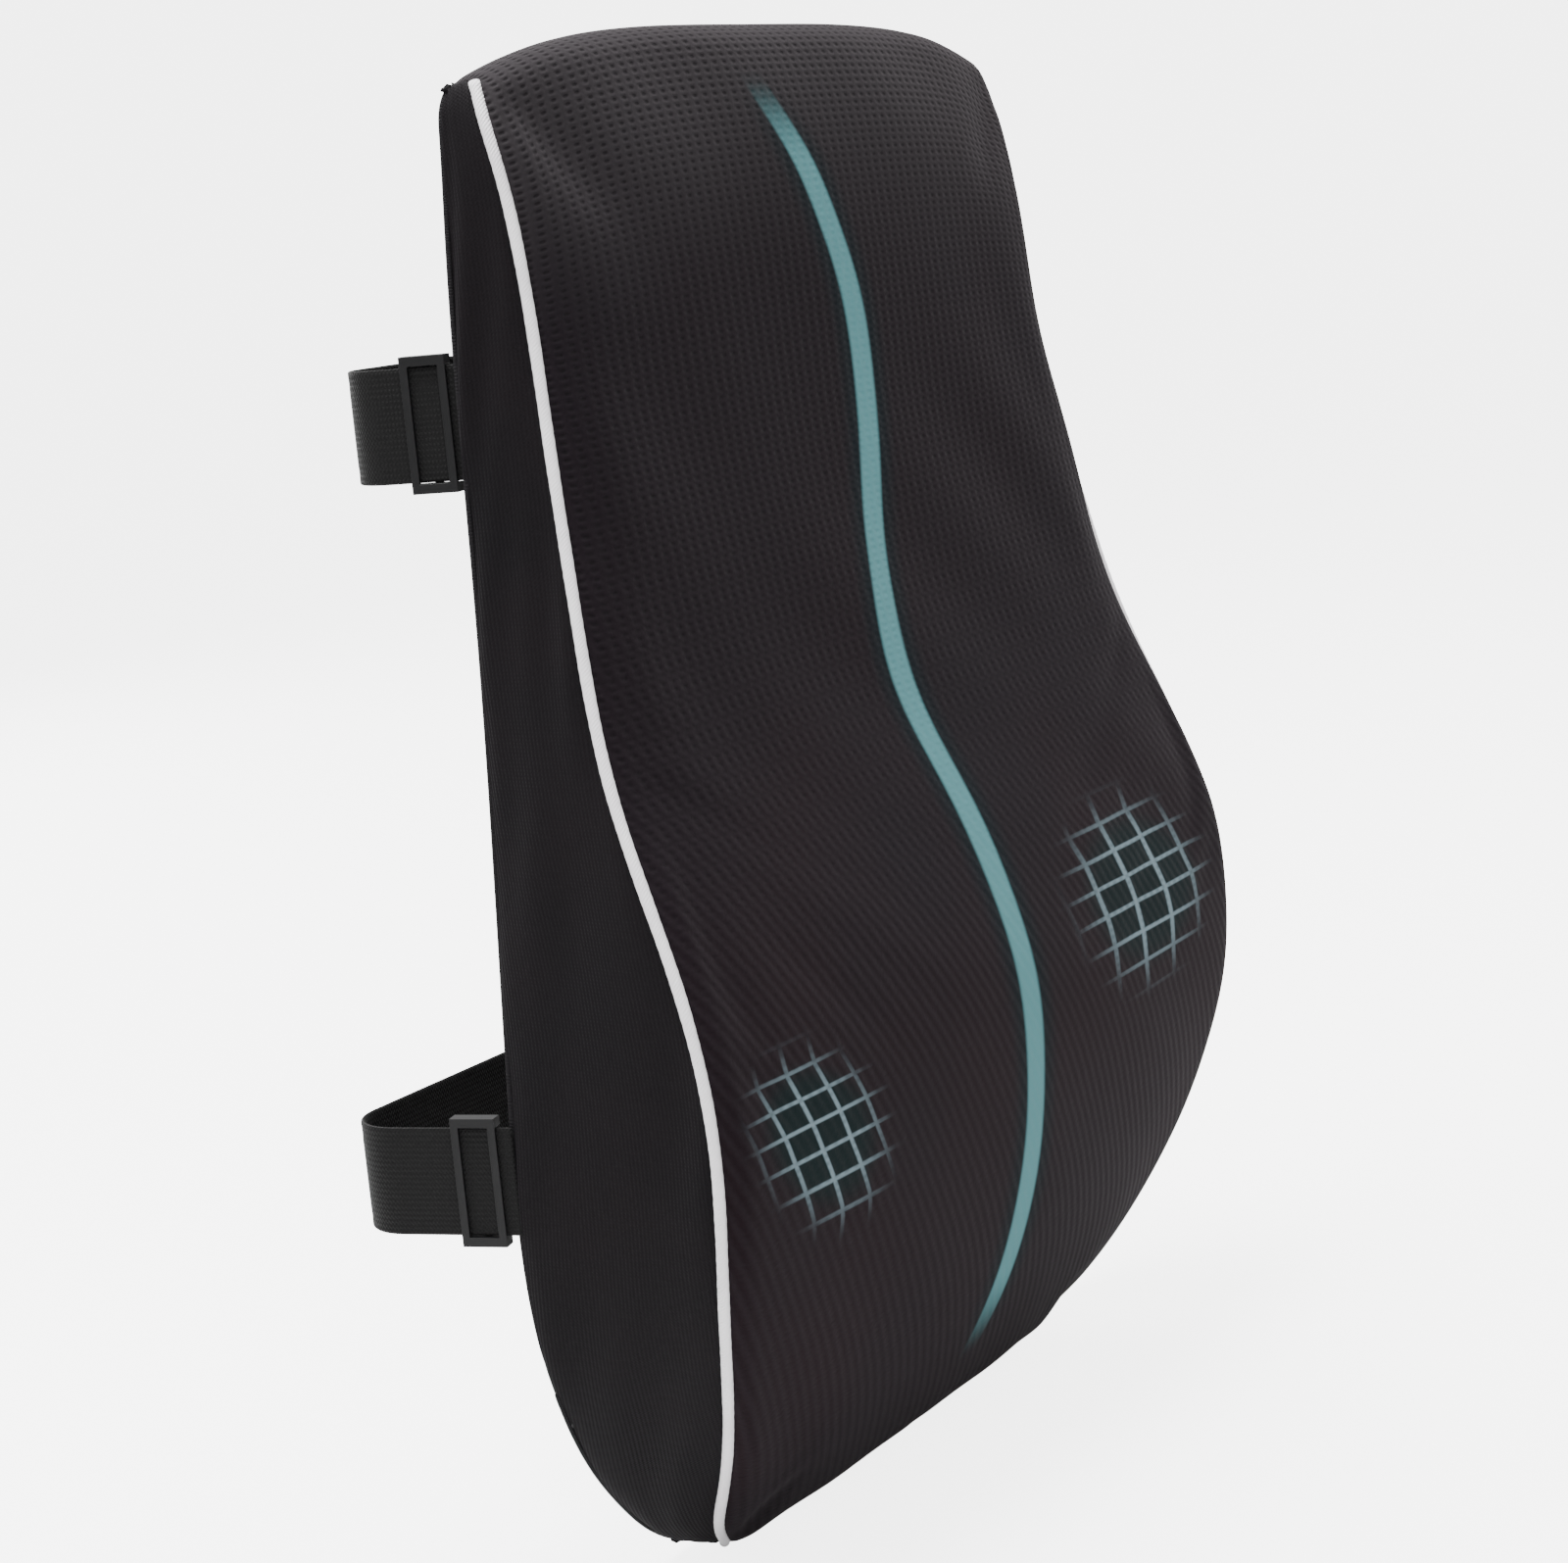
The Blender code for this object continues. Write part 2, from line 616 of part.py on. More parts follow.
def make_plug(name, mouth, looks):
    """Buckle plug: a body that closes the mouth, a middle prong and a slotted ear."""
    tall, deep = BUCKLE_HEIGHT / 2, BUCKLE_DEPTH / 2
    plug = box(name, (GAP, -deep, -tall), (PLUG_BODY, deep, tall), looks)
    plug.location = mouth
    prong = ARM_DEPTH / 2
    helper_box(plug, "prong", (-PRONG_LENGTH, -prong, -prong), (PLUG_BODY / 2, prong, prong), "UNION")
    ear = PLUG_BODY + EAR_LENGTH
    low = (PLUG_BODY - SOCKET_WALL, -BAR_DEPTH / 2, -tall)
    helper_box(plug, "ear", low, (ear, BAR_DEPTH / 2, tall), "UNION")
    low, high = (PLUG_BODY + GAP, -deep * 2, -SLOT), (ear - BAR_LENGTH, deep * 2, SLOT)
    helper_box(plug, "slot", low, high, "DIFFERENCE")
    return plug


def arm_root():
    """Where a release arm bends, from the buckle's middle: x and distance along Z."""
    return -ARM_THICKNESS / 2 - GAP, BUCKLE_HEIGHT / 2 - SOCKET_WALL - ARM_THICKNESS - ARM_ROOM


def make_arm(name, mouth, sign, looks):
    """A release arm: a springy blade with a thumb pad that shows in the socket's window."""
    root_x, root_z = arm_root()
    blade = ARM_THICKNESS / 2
    length = PRONG_LENGTH + root_x
    pad = BUCKLE_HEIGHT / 2 - SOCKET_WALL - GAP - root_z
    outline = arc((0, 0), blade, -90, 90, 7)
    outline += [(-length * PAD[0], blade), (-length * PAD[1], pad), (-length * PAD[2], pad)]
    outline += [(-length, blade), (-length, -blade)]
    arm = flat_curve(name, [[(x, sign * z) for x, z in outline][::sign]], ARM_DEPTH, looks)
    place = Vector(mouth) + Vector((root_x, 0, sign * root_z))
    stand_up(arm, place)


def make_adjuster(name, seam_x, height, looks):
    """A three-bar slider on the straight run: two outer bars outside the webbing, one bar inside."""
    heading = math.pi / 2 + STRAP_LEAN
    length = ADJUSTER_LENGTH / 2
    clear = WEBBING / 2 + GAP
    edge = clear + ADJUSTER_THICKNESS
    outer = SLOT + ADJUSTER_RIM
    adjuster = box(name, (-length, -edge, SLOT), (length, edge, outer), looks)
    helper_box(adjuster, "lower_rim", (-length, -edge, -outer), (length, edge, -SLOT), "UNION")
    bar = ADJUSTER_BAR / 2
    tip = outer - GAP
    for label, middle in (("near_bar", bar - length), ("far_bar", length - bar)):
        helper_box(adjuster, label, (middle - bar, clear, -tip), (middle + bar, edge, tip), "UNION")
    helper_box(adjuster, "middle_bar", (-bar, -edge, -tip), (bar, -clear, tip), "UNION")
    offset = ADJUSTER_PLACE + length
    place = (seam_x + offset * math.cos(heading), GAP + offset * math.sin(heading), height)
    adjuster.matrix_world = Matrix.Translation(place) @ Matrix.Rotation(heading, 4, "Z")
    return adjuster


def make_strap(level):
    """One strap: two lengths of webbing joined by a side-release buckle, with an adjuster."""
    cloth = material(f"webbing_{level}", (0.02, 0.02, 0.021), 0.75)
    plastic = material(f"buckle_plastic_{level}", (0.018, 0.018, 0.02), 0.4)
    height = STRAP_HEIGHTS[level]
    depth = STRAP_DEPTHS[level]
    edges = np.array([height - WEBBING_WIDTH / 2, height + WEBBING_WIDTH / 2])
    seam_x = SEAM_INSET - float(half_width(edges).max())
    world_z = height + FOOT
    mouth = (0, depth, world_z)
    left_bar = -SOCKET_LENGTH - EAR_LENGTH + BAR_LENGTH / 2
    right_bar = PLUG_BODY + EAR_LENGTH - BAR_LENGTH / 2
    webbing(f"strap_{level}_left", seam_x, depth, left_bar, world_z, cloth)
    right = webbing(f"strap_{level}_right", seam_x, depth, -right_bar, world_z, cloth)
    right.rotation_euler = (0, math.pi, 0)
    soften(make_socket(f"buckle_{level}_socket", mouth, plastic), 0.0006)
    soften(make_plug(f"buckle_{level}_plug", mouth, plastic), 0.0005)
    make_arm(f"buckle_{level}_arm_top", mouth, 1, plastic)
    make_arm(f"buckle_{level}_arm_bottom", mouth, -1, plastic)
    soften(make_adjuster(f"adjuster_{level}", seam_x, world_z, plastic), 0.0003)


# ---------------------------------------------------------------- the whole cushion

clear_scene()
PARTS = collection("lumbar_cushion")
CUTTERS = collection("cutters")
make_foam()
make_front(material("air_mesh", (0.035, 0.027, 0.032), 0.85))
make_sides(material("gusset_cloth", (0.02, 0.019, 0.021), 0.8))
make_back(material("back_cloth", (0.022, 0.021, 0.023), 0.85))
make_piping(
    material("piping_white", (0.84, 0.82, 0.84), 0.5),
    material("piping_cord", (0.7, 0.7, 0.68), 0.8),
)
make_zip()
for strap_level in STRAP_HEIGHTS:
    make_strap(strap_level)
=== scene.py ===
"""Looks of the lumbar support cushion: padded cover, piping, straps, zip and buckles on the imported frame.

Lengths are in metres in the frame's own axes: +Z up the cushion, -Y the side leaned on, +X to the right.
Each soft shape is a function of two parameters worked out on a grid of points. The hard pieces are the
frame's own, with their edges eased where that keeps them whole.
"""

import json
import math

import bmesh
import bpy
import numpy as np
from mathutils import Matrix, Vector


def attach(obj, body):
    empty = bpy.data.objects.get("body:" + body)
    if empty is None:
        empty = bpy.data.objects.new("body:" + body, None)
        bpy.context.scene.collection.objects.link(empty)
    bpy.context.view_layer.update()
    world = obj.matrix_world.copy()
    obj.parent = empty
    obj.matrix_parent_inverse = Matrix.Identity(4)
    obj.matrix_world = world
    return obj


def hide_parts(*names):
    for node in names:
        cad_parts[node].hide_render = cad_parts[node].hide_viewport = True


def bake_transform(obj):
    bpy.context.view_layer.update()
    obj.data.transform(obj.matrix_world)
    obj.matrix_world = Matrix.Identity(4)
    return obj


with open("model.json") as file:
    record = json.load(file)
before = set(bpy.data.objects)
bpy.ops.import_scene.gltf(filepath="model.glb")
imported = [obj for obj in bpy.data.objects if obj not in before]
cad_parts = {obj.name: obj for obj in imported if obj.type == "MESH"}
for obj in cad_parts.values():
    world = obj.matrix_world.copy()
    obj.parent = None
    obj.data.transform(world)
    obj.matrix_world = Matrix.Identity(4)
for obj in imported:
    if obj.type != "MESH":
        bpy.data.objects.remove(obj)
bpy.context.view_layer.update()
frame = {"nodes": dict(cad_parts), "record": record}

# ---------------------------------------------------------------- sizes

HEIGHT = 0.450
FOOT = -HEIGHT / 2

# Height above the foot, and there: the depth of the front seam, half the width at the front seam,
# half the width at the back seam, and how far the front's middle stands proud of its seams.
SEAM_DEPTH = (
    (0.000, 0.050, 0.100, 0.150, 0.200, 0.250, 0.300, 0.350, 0.400, 0.430, 0.450),
    (-0.0155, -0.0473, -0.0655, -0.0732, -0.0653, -0.0466, -0.0352, -0.0276, -0.0222, -0.0165, -0.0095),
)
FRONT_HALF = (
    (0.000, 0.010, 0.030, 0.070, 0.120, 0.160, 0.200, 0.300, 0.380, 0.420, 0.440, 0.450),
    (0.0990, 0.1115, 0.1262, 0.1465, 0.1615, 0.1645, 0.1638, 0.1520, 0.1442, 0.1435, 0.1422, 0.1395),
)
BACK_HALF = (
    (0.000, 0.002, 0.006, 0.013, 0.023, 0.036, 0.060, 0.085,
     0.118, 0.162, 0.230, 0.300, 0.404, 0.436, 0.446, 0.450),
    (0.0990, 0.1055, 0.1132, 0.1217, 0.1310, 0.1410, 0.1535, 0.1610,
     0.1645, 0.1628, 0.1575, 0.1530, 0.1480, 0.1452, 0.1425, 0.1390),
)
CROWN = (
    (0.000, 0.080, 0.160, 0.300, 0.450),
    (0.0090, 0.0133, 0.0072, 0.0056, 0.0128),
)
SHOULDER_DEPTH = 0.0056  # how steeply the front rolls down to the piping
SHOULDER_REACH = 0.0075
ROLL_DEPTH = 0.0035  # the back edge's roll at the foot and the top
ROLL_HEIGHT = 0.013
TOP_ARCH = 0.0140  # how far the middle of the top edge rises above its corners

ALONG = 132  # rows of the cushion's panels
ACROSS = 61  # columns of the front and the back
SIDE_ACROSS = 13
COVER = 0.0014  # thickness of the cloth
SWELL = 0.0024  # the most that the filling pushes it out
SIDE_RIPPLE, FRONT_RIPPLE = 0.0006, 0.0004

SEAM_TUCK, BACK_TUCK = 0.0016, 0.0010  # how far the cloth is drawn in at its seams, and from how far away
FRONT_REACH, EDGE_REACH = 0.0024, 0.0022
UNDER_NARROW = (0.992, 1, 1)  # the front's end rows turn in under the back's: their share of its width,
UNDER_IN, UNDER_RISE = 0.0006, 0.0004  # and how far in and towards the middle they lie

PIPING_RADIUS = 0.0017
PIPING_SINK = 0.0013  # how deep its middle lies behind the seam
PIPING_FOOT, PIPING_TOP = 0.0130, 0.0078  # the depth of the piping's lower and upper ends

ZIP_Z = 0.070 + FOOT
ZIP_OPENING = 0.0160
ZIP_END = 0.1478  # where the opening starts to close
ZIP_CLOSING = 0.005  # and the length over which it does
FOLD_WIDTH = 0.0050  # how far the cloth's folded edge reaches back under it
FOLD_INSET = 0.0035
ZIP_STITCH_END, ZIP_STITCH_OUT = 0.146, 0.0024

TAPE = 0.0007  # the zip's tapes: thickness, half width, place behind the back and slight waves
TAPE_HALF = 0.0062
TAPE_MIDDLE = 0.00655
TAPE_DEPTH = -0.0022
TAPE_END = 0.1512
TAPE_WAVE = 0.00008
TAPE_PITCH = 0.023

WEBBING_HALF = 0.0163
WEBBING = 0.0014
SELVEDGE = 0.0012  # width of a band's edge, and of the groove beside it
TAIL = 0.022  # from the buckle's bar: the webbing's end, where it nears the bar, and where it is round it
FOLD_START, FOLD_NEAR = 0.0121, 0.0035
BAR_HALF, BAR_MIDDLE = 0.0013, 0.00175
BARS = {"left": -0.04025, "right": -0.02075}  # x of each buckle's bar edge
BOX_IN = 0.0172  # the stitched box: its middle from the bar, and its half sizes
BOX_HALF_X, BOX_HALF_Z = 0.0036, 0.0125

STRAPS = {
    "upper": {"height": 0.130, "depth": 0.042, "seam": 0.14685},
    "lower": {"height": -0.088, "depth": 0.054, "seam": 0.1630},
}
STRAP_ROOT = -0.0015  # y where the webbing leaves the seam
STRAP_BEND = 0.014
STRAP_LEAN = math.radians(15)
GAP = 0.0003

CAMERA_PLACE = (-0.8484, -0.56026, 0.18053)
CAMERA_AZIMUTH, CAMERA_ELEVATION, CAMERA_ROLL = (math.radians(a) for a in (-56.492, 10.236, -5.434))
CAMERA_LENS = 72.6

# ---------------------------------------------------------------- camera


def look(azimuth, elevation, roll):
    """Camera axes as columns: right, up and back, turned by roll about the back axis."""
    back = np.array([
        math.sin(azimuth) * math.cos(elevation),
        -math.cos(azimuth) * math.cos(elevation),
        math.sin(elevation),
    ])
    flat = np.array([math.cos(azimuth), math.sin(azimuth), 0.0])
    rise = np.cross(back, flat)
    right = math.cos(roll) * flat + math.sin(roll) * rise
    return np.stack([right, np.cross(back, right), back], axis=1)


camera = bpy.data.objects.new("camera", bpy.data.cameras.new("camera"))
bpy.context.scene.collection.objects.link(camera)
camera.data.lens = CAMERA_LENS
camera.matrix_world = Matrix.Translation(CAMERA_PLACE) @ Matrix(
    look(CAMERA_AZIMUTH, CAMERA_ELEVATION, CAMERA_ROLL).tolist()
).to_4x4()
bpy.context.scene.camera = camera

# ---------------------------------------------------------------- numbers


def spline(table, at):
    """Natural cubic through the table's points: second slopes from one linear system, then cubic pieces."""
    x, y = (np.array(values, float) for values in table)
    at = np.clip(at, x[0], x[-1])
    h = np.diff(x)
    system = np.eye(len(x))
    right = np.zeros(len(x))
    inner = np.arange(1, len(x) - 1)
    system[inner, inner - 1] = h[:-1]
    system[inner, inner] = 2 * (h[:-1] + h[1:])
    system[inner, inner + 1] = h[1:]
    right[1:-1] = 6 * (np.diff(y)[1:] / h[1:] - np.diff(y)[:-1] / h[:-1])
    bend = np.linalg.solve(system, right)
    i = np.clip(np.searchsorted(x, at, side="right") - 1, 0, len(h) - 1)
    a, b, w = x[i + 1] - at, at - x[i], h[i]
    return (
        (bend[i] * a**3 + bend[i + 1] * b**3) / (6 * w)
        + (y[i] / w - bend[i] * w / 6) * a
        + (y[i + 1] / w - bend[i + 1] * w / 6) * b
    )


def ease(t):
    """0 up to 0, 1 from 1 on, and a smooth step between."""
    t = np.clip(t, 0, 1)
    return t * t * (3 - 2 * t)


def lengths(path):
    """Distance along the path at each of its points."""
    return np.concatenate([[0], np.cumsum(np.linalg.norm(np.diff(path, axis=0), axis=1))])


def evenly(path, count):
    """The same path with points a constant distance apart."""
    reach = lengths(path)
    at = np.linspace(0, reach[-1], count)
    return np.stack([np.interp(at, reach, path[:, k]) for k in range(path.shape[1])], axis=1)


def unit(v):
    """The same vectors at length 1."""
    return v / np.maximum(np.linalg.norm(v, axis=-1, keepdims=True), 1e-12)


def rolled(values, width):
    """Moving average along a path with bell-shaped weights, its ends held."""
    kernel = np.hanning(2 * width + 3)[1:-1]
    kernel /= kernel.sum()
    padded = np.pad(values, ((width, width), (0, 0)), mode="reflect", reflect_type="odd")
    return np.stack([np.convolve(padded[:, k], kernel, "valid") for k in range(values.shape[1])], axis=1)


def wander(shape, seed, waves):
    """Smooth seeded unevenness: a sum of a few slow waves over a grid, between about -1 and 1."""
    draw = np.random.default_rng(seed)
    row = np.linspace(0, 1, shape[0])[:, None]
    column = np.linspace(0, 1, shape[1])[None, :]
    total = np.zeros(shape)
    for _ in range(waves):
        a, b = draw.uniform(2, 9, 2)
        total += np.sin(2 * np.pi * (a * row + b * column * 0.6) + draw.uniform(0, 2 * np.pi))
    return total / math.sqrt(waves)


# ---------------------------------------------------------------- meshes


def grid_faces(rows, columns, start=0, wrap=False):
    """Four-sided faces of a grid held row by row; with wrap, its last column joins its first."""
    i, j = np.meshgrid(np.arange(rows - 1), np.arange(columns if wrap else columns - 1), indexing="ij")
    k = (j + 1) % columns
    here, beyond = i * columns, (i + 1) * columns
    return np.stack([here + j, here + k, beyond + k, beyond + j], axis=-1).reshape(-1, 4) + start


def add_piece(name, points, faces, look=None, uv=None, smooth=True):
    """An object at the origin from points and faces; uv holds one pair for each point."""
    mesh = bpy.data.meshes.new(name)
    mesh.from_pydata(np.asarray(points, float).tolist(), [], [tuple(map(int, f)) for f in faces])
    if uv is not None:
        corner = np.empty(len(mesh.loops), np.int32)
        mesh.loops.foreach_get("vertex_index", corner)
        layer = mesh.uv_layers.new(name="cloth")
        layer.data.foreach_set("uv", np.asarray(uv, np.float32)[corner].ravel())
    mesh.polygons.foreach_set("use_smooth", np.full(len(mesh.polygons), smooth))
    piece = bpy.data.objects.new(name, mesh)
    bpy.context.scene.collection.objects.link(piece)
    if look:
        mesh.materials.append(look)
    return piece


def tidy_normals(piece, merge=1e-6):
    """Merges doubles and turns every face outward."""
    shape = bmesh.new()
    shape.from_mesh(piece.data)
    bmesh.ops.remove_doubles(shape, verts=shape.verts, dist=merge)
    bmesh.ops.recalc_face_normals(shape, faces=shape.faces)
    shape.to_mesh(piece.data)
    shape.free()
    return piece


def finer(piece):
    """Divides each face in four and smooths the whole."""
    step = piece.modifiers.new("finer", "SUBSURF")
    step.levels = step.render_levels = 1


def thick(piece, thickness):
    """Gives a sheet its thickness, inward."""
    wall = piece.modifiers.new("thickness", "SOLIDIFY")
    wall.thickness = thickness
    wall.offset = -1


def eased_edges(piece, width):
    """Rounds each edge that turns by more than 40 degrees."""
    bevel = piece.modifiers.new("edges", "BEVEL")
    bevel.width = width
    bevel.segments = 2
    bevel.limit_method = "ANGLE"
    bevel.angle_limit = math.radians(40)


def sweep(name, path, section, look, up=(0, 0, 1)):
    """A section carried along a path, its ends filled: each point (a, b) goes a sideways and b upward.

    section is (count, 2), or (rows, count, 2) where it changes along the path.
    """
    path = np.asarray(path, float)
    ahead = unit(np.gradient(path, axis=0))
    side = unit(np.cross(ahead, np.broadcast_to(np.asarray(up, float), ahead.shape)))
    rise = np.cross(side, ahead)
    section = np.broadcast_to(section, (len(path),) + np.shape(section)[-2:])
    points = path[:, None] + section[..., :1] * side[:, None] + section[..., 1:] * rise[:, None]
    rows, columns = points.shape[:2]
    faces = [tuple(f) for f in grid_faces(rows, columns, wrap=True)]
    faces += [tuple(range(columns)), tuple(range((rows - 1) * columns, rows * columns))[::-1]]
    around = lengths(np.concatenate([section[0], section[0][:1]]))[:-1]
    uv = np.stack(np.broadcast_arrays(lengths(path)[:, None], around[None, :]), axis=-1).reshape(-1, 2)
    return tidy_normals(add_piece(name, points.reshape(-1, 3), faces, look, uv))


def rounded(half_width, half_height, radius, steps=4):
    """Outline of a rectangle with rounded corners, anticlockwise."""
    turn = np.linspace(0, np.pi / 2, steps)
    outline = []
    for k, (sx, sy) in enumerate(((1, 1), (-1, 1), (-1, -1), (1, -1))):
        angle = turn + k * np.pi / 2
        middle = np.array([sx * (half_width - radius), sy * (half_height - radius)])
        outline.append(middle + radius * np.stack([np.cos(angle), np.sin(angle)], axis=1))
    return np.concatenate(outline)


# ---------------------------------------------------------------- materials


class Value:
    """A number that varies over a surface. Arithmetic on it adds Math nodes."""

    def __init__(self, finish, socket):
        self.finish, self.socket = finish, socket

    def math(self, operation, *others):
        return self.finish.node("ShaderNodeMath", {"operation": operation}, dict(enumerate((self, *others))))

    def __add__(self, other):
        return self.math("ADD", other)

    __radd__ = __add__

    def __sub__(self, other):
        return self.math("SUBTRACT", other)

    def __rsub__(self, other):
        return self.finish.node("ShaderNodeMath", {"operation": "SUBTRACT"}, {0: other, 1: self})

    def __mul__(self, other):
        return self.math("MULTIPLY", other)

    __rmul__ = __mul__

    def __abs__(self):
        return self.math("ABSOLUTE")

    def fraction(self):
        return self.math("FRACT")

    def cosine(self):
        return self.math("COSINE")

    def above(self, low, high):
        """0 below low, 1 above high, and smooth between."""
        values = {"Value": self, "From Min": low, "From Max": high}
        return self.finish.node("ShaderNodeMapRange", {"interpolation_type": "SMOOTHSTEP"}, values)


class Finish:
    """A Principled material built from nodes."""

    def __init__(self, name, roughness=0.6, metallic=0.0, sheen=0.0, sheen_roughness=0.5, specular=0.5,
                 sheen_tint=(1, 1, 1)):
        self.material = bpy.data.materials.new(name)
        self.material.use_nodes = True
        self.tree = self.material.node_tree
        self.shader = self.tree.nodes["Principled BSDF"]
        for label, value in (
            ("Roughness", roughness), ("Metallic", metallic), ("Sheen Weight", sheen),
            ("Sheen Roughness", sheen_roughness), ("Sheen Tint", (*sheen_tint, 1)),
            ("Specular IOR Level", specular),
        ):
            self.shader.inputs[label].default_value = value

    def node(self, kind, settings=None, values=None, output=0):
        """Adds a node: its settings first, then its sockets' values or links. Gives one of its outputs."""
        made = self.tree.nodes.new(kind)
        for label, value in (settings or {}).items():
            setattr(made, label, value)
        for label, value in (values or {}).items():
            self.put(made.inputs[label], value)
        return Value(self, made.outputs[output])

    def put(self, socket, value):
        """Links a Value to the socket, or sets a constant on it."""
        if isinstance(value, Value):
            self.tree.links.new(value.socket, socket)
        elif isinstance(value, tuple) and len(value) == 3 and socket.type == "RGBA":
            socket.default_value = (*value, 1)
        else:
            socket.default_value = value

    def set(self, **values):
        """Feeds the shader and gives the finished material."""
        names = {"colour": "Base Color", "roughness": "Roughness", "normal": "Normal"}
        for label, value in values.items():
            self.put(self.shader.inputs[names[label]], value)
        return self.material

    def here(self):
        """Object coordinates as three values."""
        place = self.node("ShaderNodeTexCoord", output="Object")
        return self.parts(place)

    def parts(self, vector):
        """A vector's three values."""
        split = self.tree.nodes.new("ShaderNodeSeparateXYZ")
        self.tree.links.new(vector.socket, split.inputs[0])
        return [Value(self, socket) for socket in split.outputs]

    def cloth(self):
        """The piece's own map, in metres along and across the cloth."""
        return self.parts(self.node("ShaderNodeUVMap", {"uv_map": "cloth"}))

    def attribute(self, name):
        """The three values stored on the piece's points under this name."""
        return self.parts(self.node("ShaderNodeAttribute", {"attribute_name": name}, output="Vector"))

    def noise(self, scale, detail=2.0, roughness=0.5):
        place = self.node("ShaderNodeTexCoord", output="Object")
        values = {"Vector": place, "Scale": scale, "Detail": detail, "Roughness": roughness}
        return self.node("ShaderNodeTexNoise", {}, values)

    def mix(self, share, first, second):
        """Two colours mixed by share."""
        made = self.tree.nodes.new("ShaderNodeMix")
        made.data_type = "RGBA"
        for socket, value in ((made.inputs[0], share), (made.inputs[6], first), (made.inputs[7], second)):
            self.put(socket, value)
        return Value(self, made.outputs[2])

    def bump(self, height, distance, strength):
        return self.node("ShaderNodeBump", {}, {"Height": height, "Distance": distance, "Strength": strength})


def air_mesh():
    """Knitted air mesh: columns of small holes above, slanting ribs below, a printed line and two grids.

    The holes are the product of a cosine across and one along the cloth; both sway slowly. Near the top the
    knit is painted a lighter grey: a painted highlight where light from above falls.
    """
    f = Finish(
        "air_mesh", 0.82, sheen=0.03, sheen_roughness=0.45, specular=0.09, sheen_tint=(0.9, 0.8, 0.86)
    )
    across, along, _ = f.cloth()
    sway = (f.noise(9.0, 1.0) - 0.5) * 0.004
    column = ((across + sway) * (2 * math.pi / 0.0048)).cosine() * 0.5 + 0.5
    row = ((along + sway * 0.5) * (2 * math.pi / 0.0024)).cosine() * 0.5 + 0.5
    _, _, high = f.here()
    open_knit = (high + sway * 8).above(-0.08, 0.13)
    weave = column * row
    hole = weave.above(0.38, 0.85) * (open_knit * 0.85 + 0.15)
    rib = ((across * 0.857 + along * 0.515 + sway) * (2 * math.pi / 0.0040)).cosine() * (1 - open_knit * 0.8)
    yarn = f.noise(900.0, 2.0)
    tone = f.noise(7.0, 2.0)
    patch = f.noise(3.2, 1.0).above(0.42, 0.66)
    ground = f.mix(patch, (0.0056, 0.0034, 0.0050), (0.0088, 0.0034, 0.0050))
    ground = f.mix(tone.above(0.35, 0.7), ground, (0.0060, 0.0042, 0.0060))
    # Painted highlight: from 0.150 m up in object height, the top band is mixed to a lighter grey as if lit
    # from above.
    ground = f.mix((high + (tone - 0.5) * 0.05).above(0.150, 0.222) * 0.7, ground, (0.0290, 0.0265, 0.0280))
    ground = f.mix(hole * 0.8, ground, (0.0014, 0.0009, 0.0013))
    ground = f.mix((yarn - 0.35) * 0.5 + rib * 0.16 + 0.10, ground, (0.018, 0.014, 0.017))
    # Printed line: its own distance across the cloth, and a fade at both ends.
    aside, shown, _ = f.attribute("print_line")
    core = (1 - abs(aside).above(0.0044, 0.0068)) * shown
    halo = (1 - abs(aside).above(0.0052, 0.0170)) * shown
    # Printed grids: column, row and fade.
    column_at, row_at, strength = f.attribute("print_grid")
    near_column = abs((column_at + 0.5).fraction() - 0.5)
    near_row = abs((row_at + 0.5).fraction() - 0.5)
    near = near_column.math("MINIMUM", near_row)
    lines = (1 - near.above(0.035, 0.10)) * strength
    glow = strength.above(0.25, 1.0)
    ground = f.mix(halo * 0.8, ground, (0.0020, 0.0080, 0.0100))
    ground = f.mix(glow * 0.75, ground, (0.0012, 0.0105, 0.0108))
    ground = f.mix(core * 0.92, ground, (0.088, 0.230, 0.245))
    ground = f.mix(lines * (0.88 - weave * 0.25), ground, (0.170, 0.235, 0.265))
    height = weave * (open_knit * -0.9 - 0.1) + rib * 0.25 + yarn * 0.35
    normal = f.bump(height, 0.00042, 0.75)
    return f.set(colour=ground, roughness=0.74 + yarn * 0.16, normal=normal)


def gusset_cloth():
    """Smooth black knit: fine upright ribs and faint mottling."""
    f = Finish("gusset_cloth", 0.72, sheen=0.015, specular=0.09, sheen_tint=(0.85, 0.84, 0.9))
    along, across, _ = f.cloth()
    rib = (across * (2 * math.pi / 0.0013)).cosine()
    course = (along * (2 * math.pi / 0.0011)).cosine()
    mottle = f.noise(14.0, 3.0, 0.6)
    yarn = f.noise(1100.0, 2.0)
    ground = f.mix(mottle.above(0.3, 0.72), (0.0028, 0.0023, 0.0030), (0.0056, 0.0040, 0.0050))
    ground = f.mix((rib * 0.5 + 0.5) * 0.25 + yarn * 0.25, ground, (0.0085, 0.0072, 0.0085))
    normal = f.bump(rib * 0.5 + course * rib * 0.3 + yarn * 0.5, 0.00016, 0.7)
    return f.set(colour=ground, roughness=0.66 + mottle * 0.14, normal=normal)


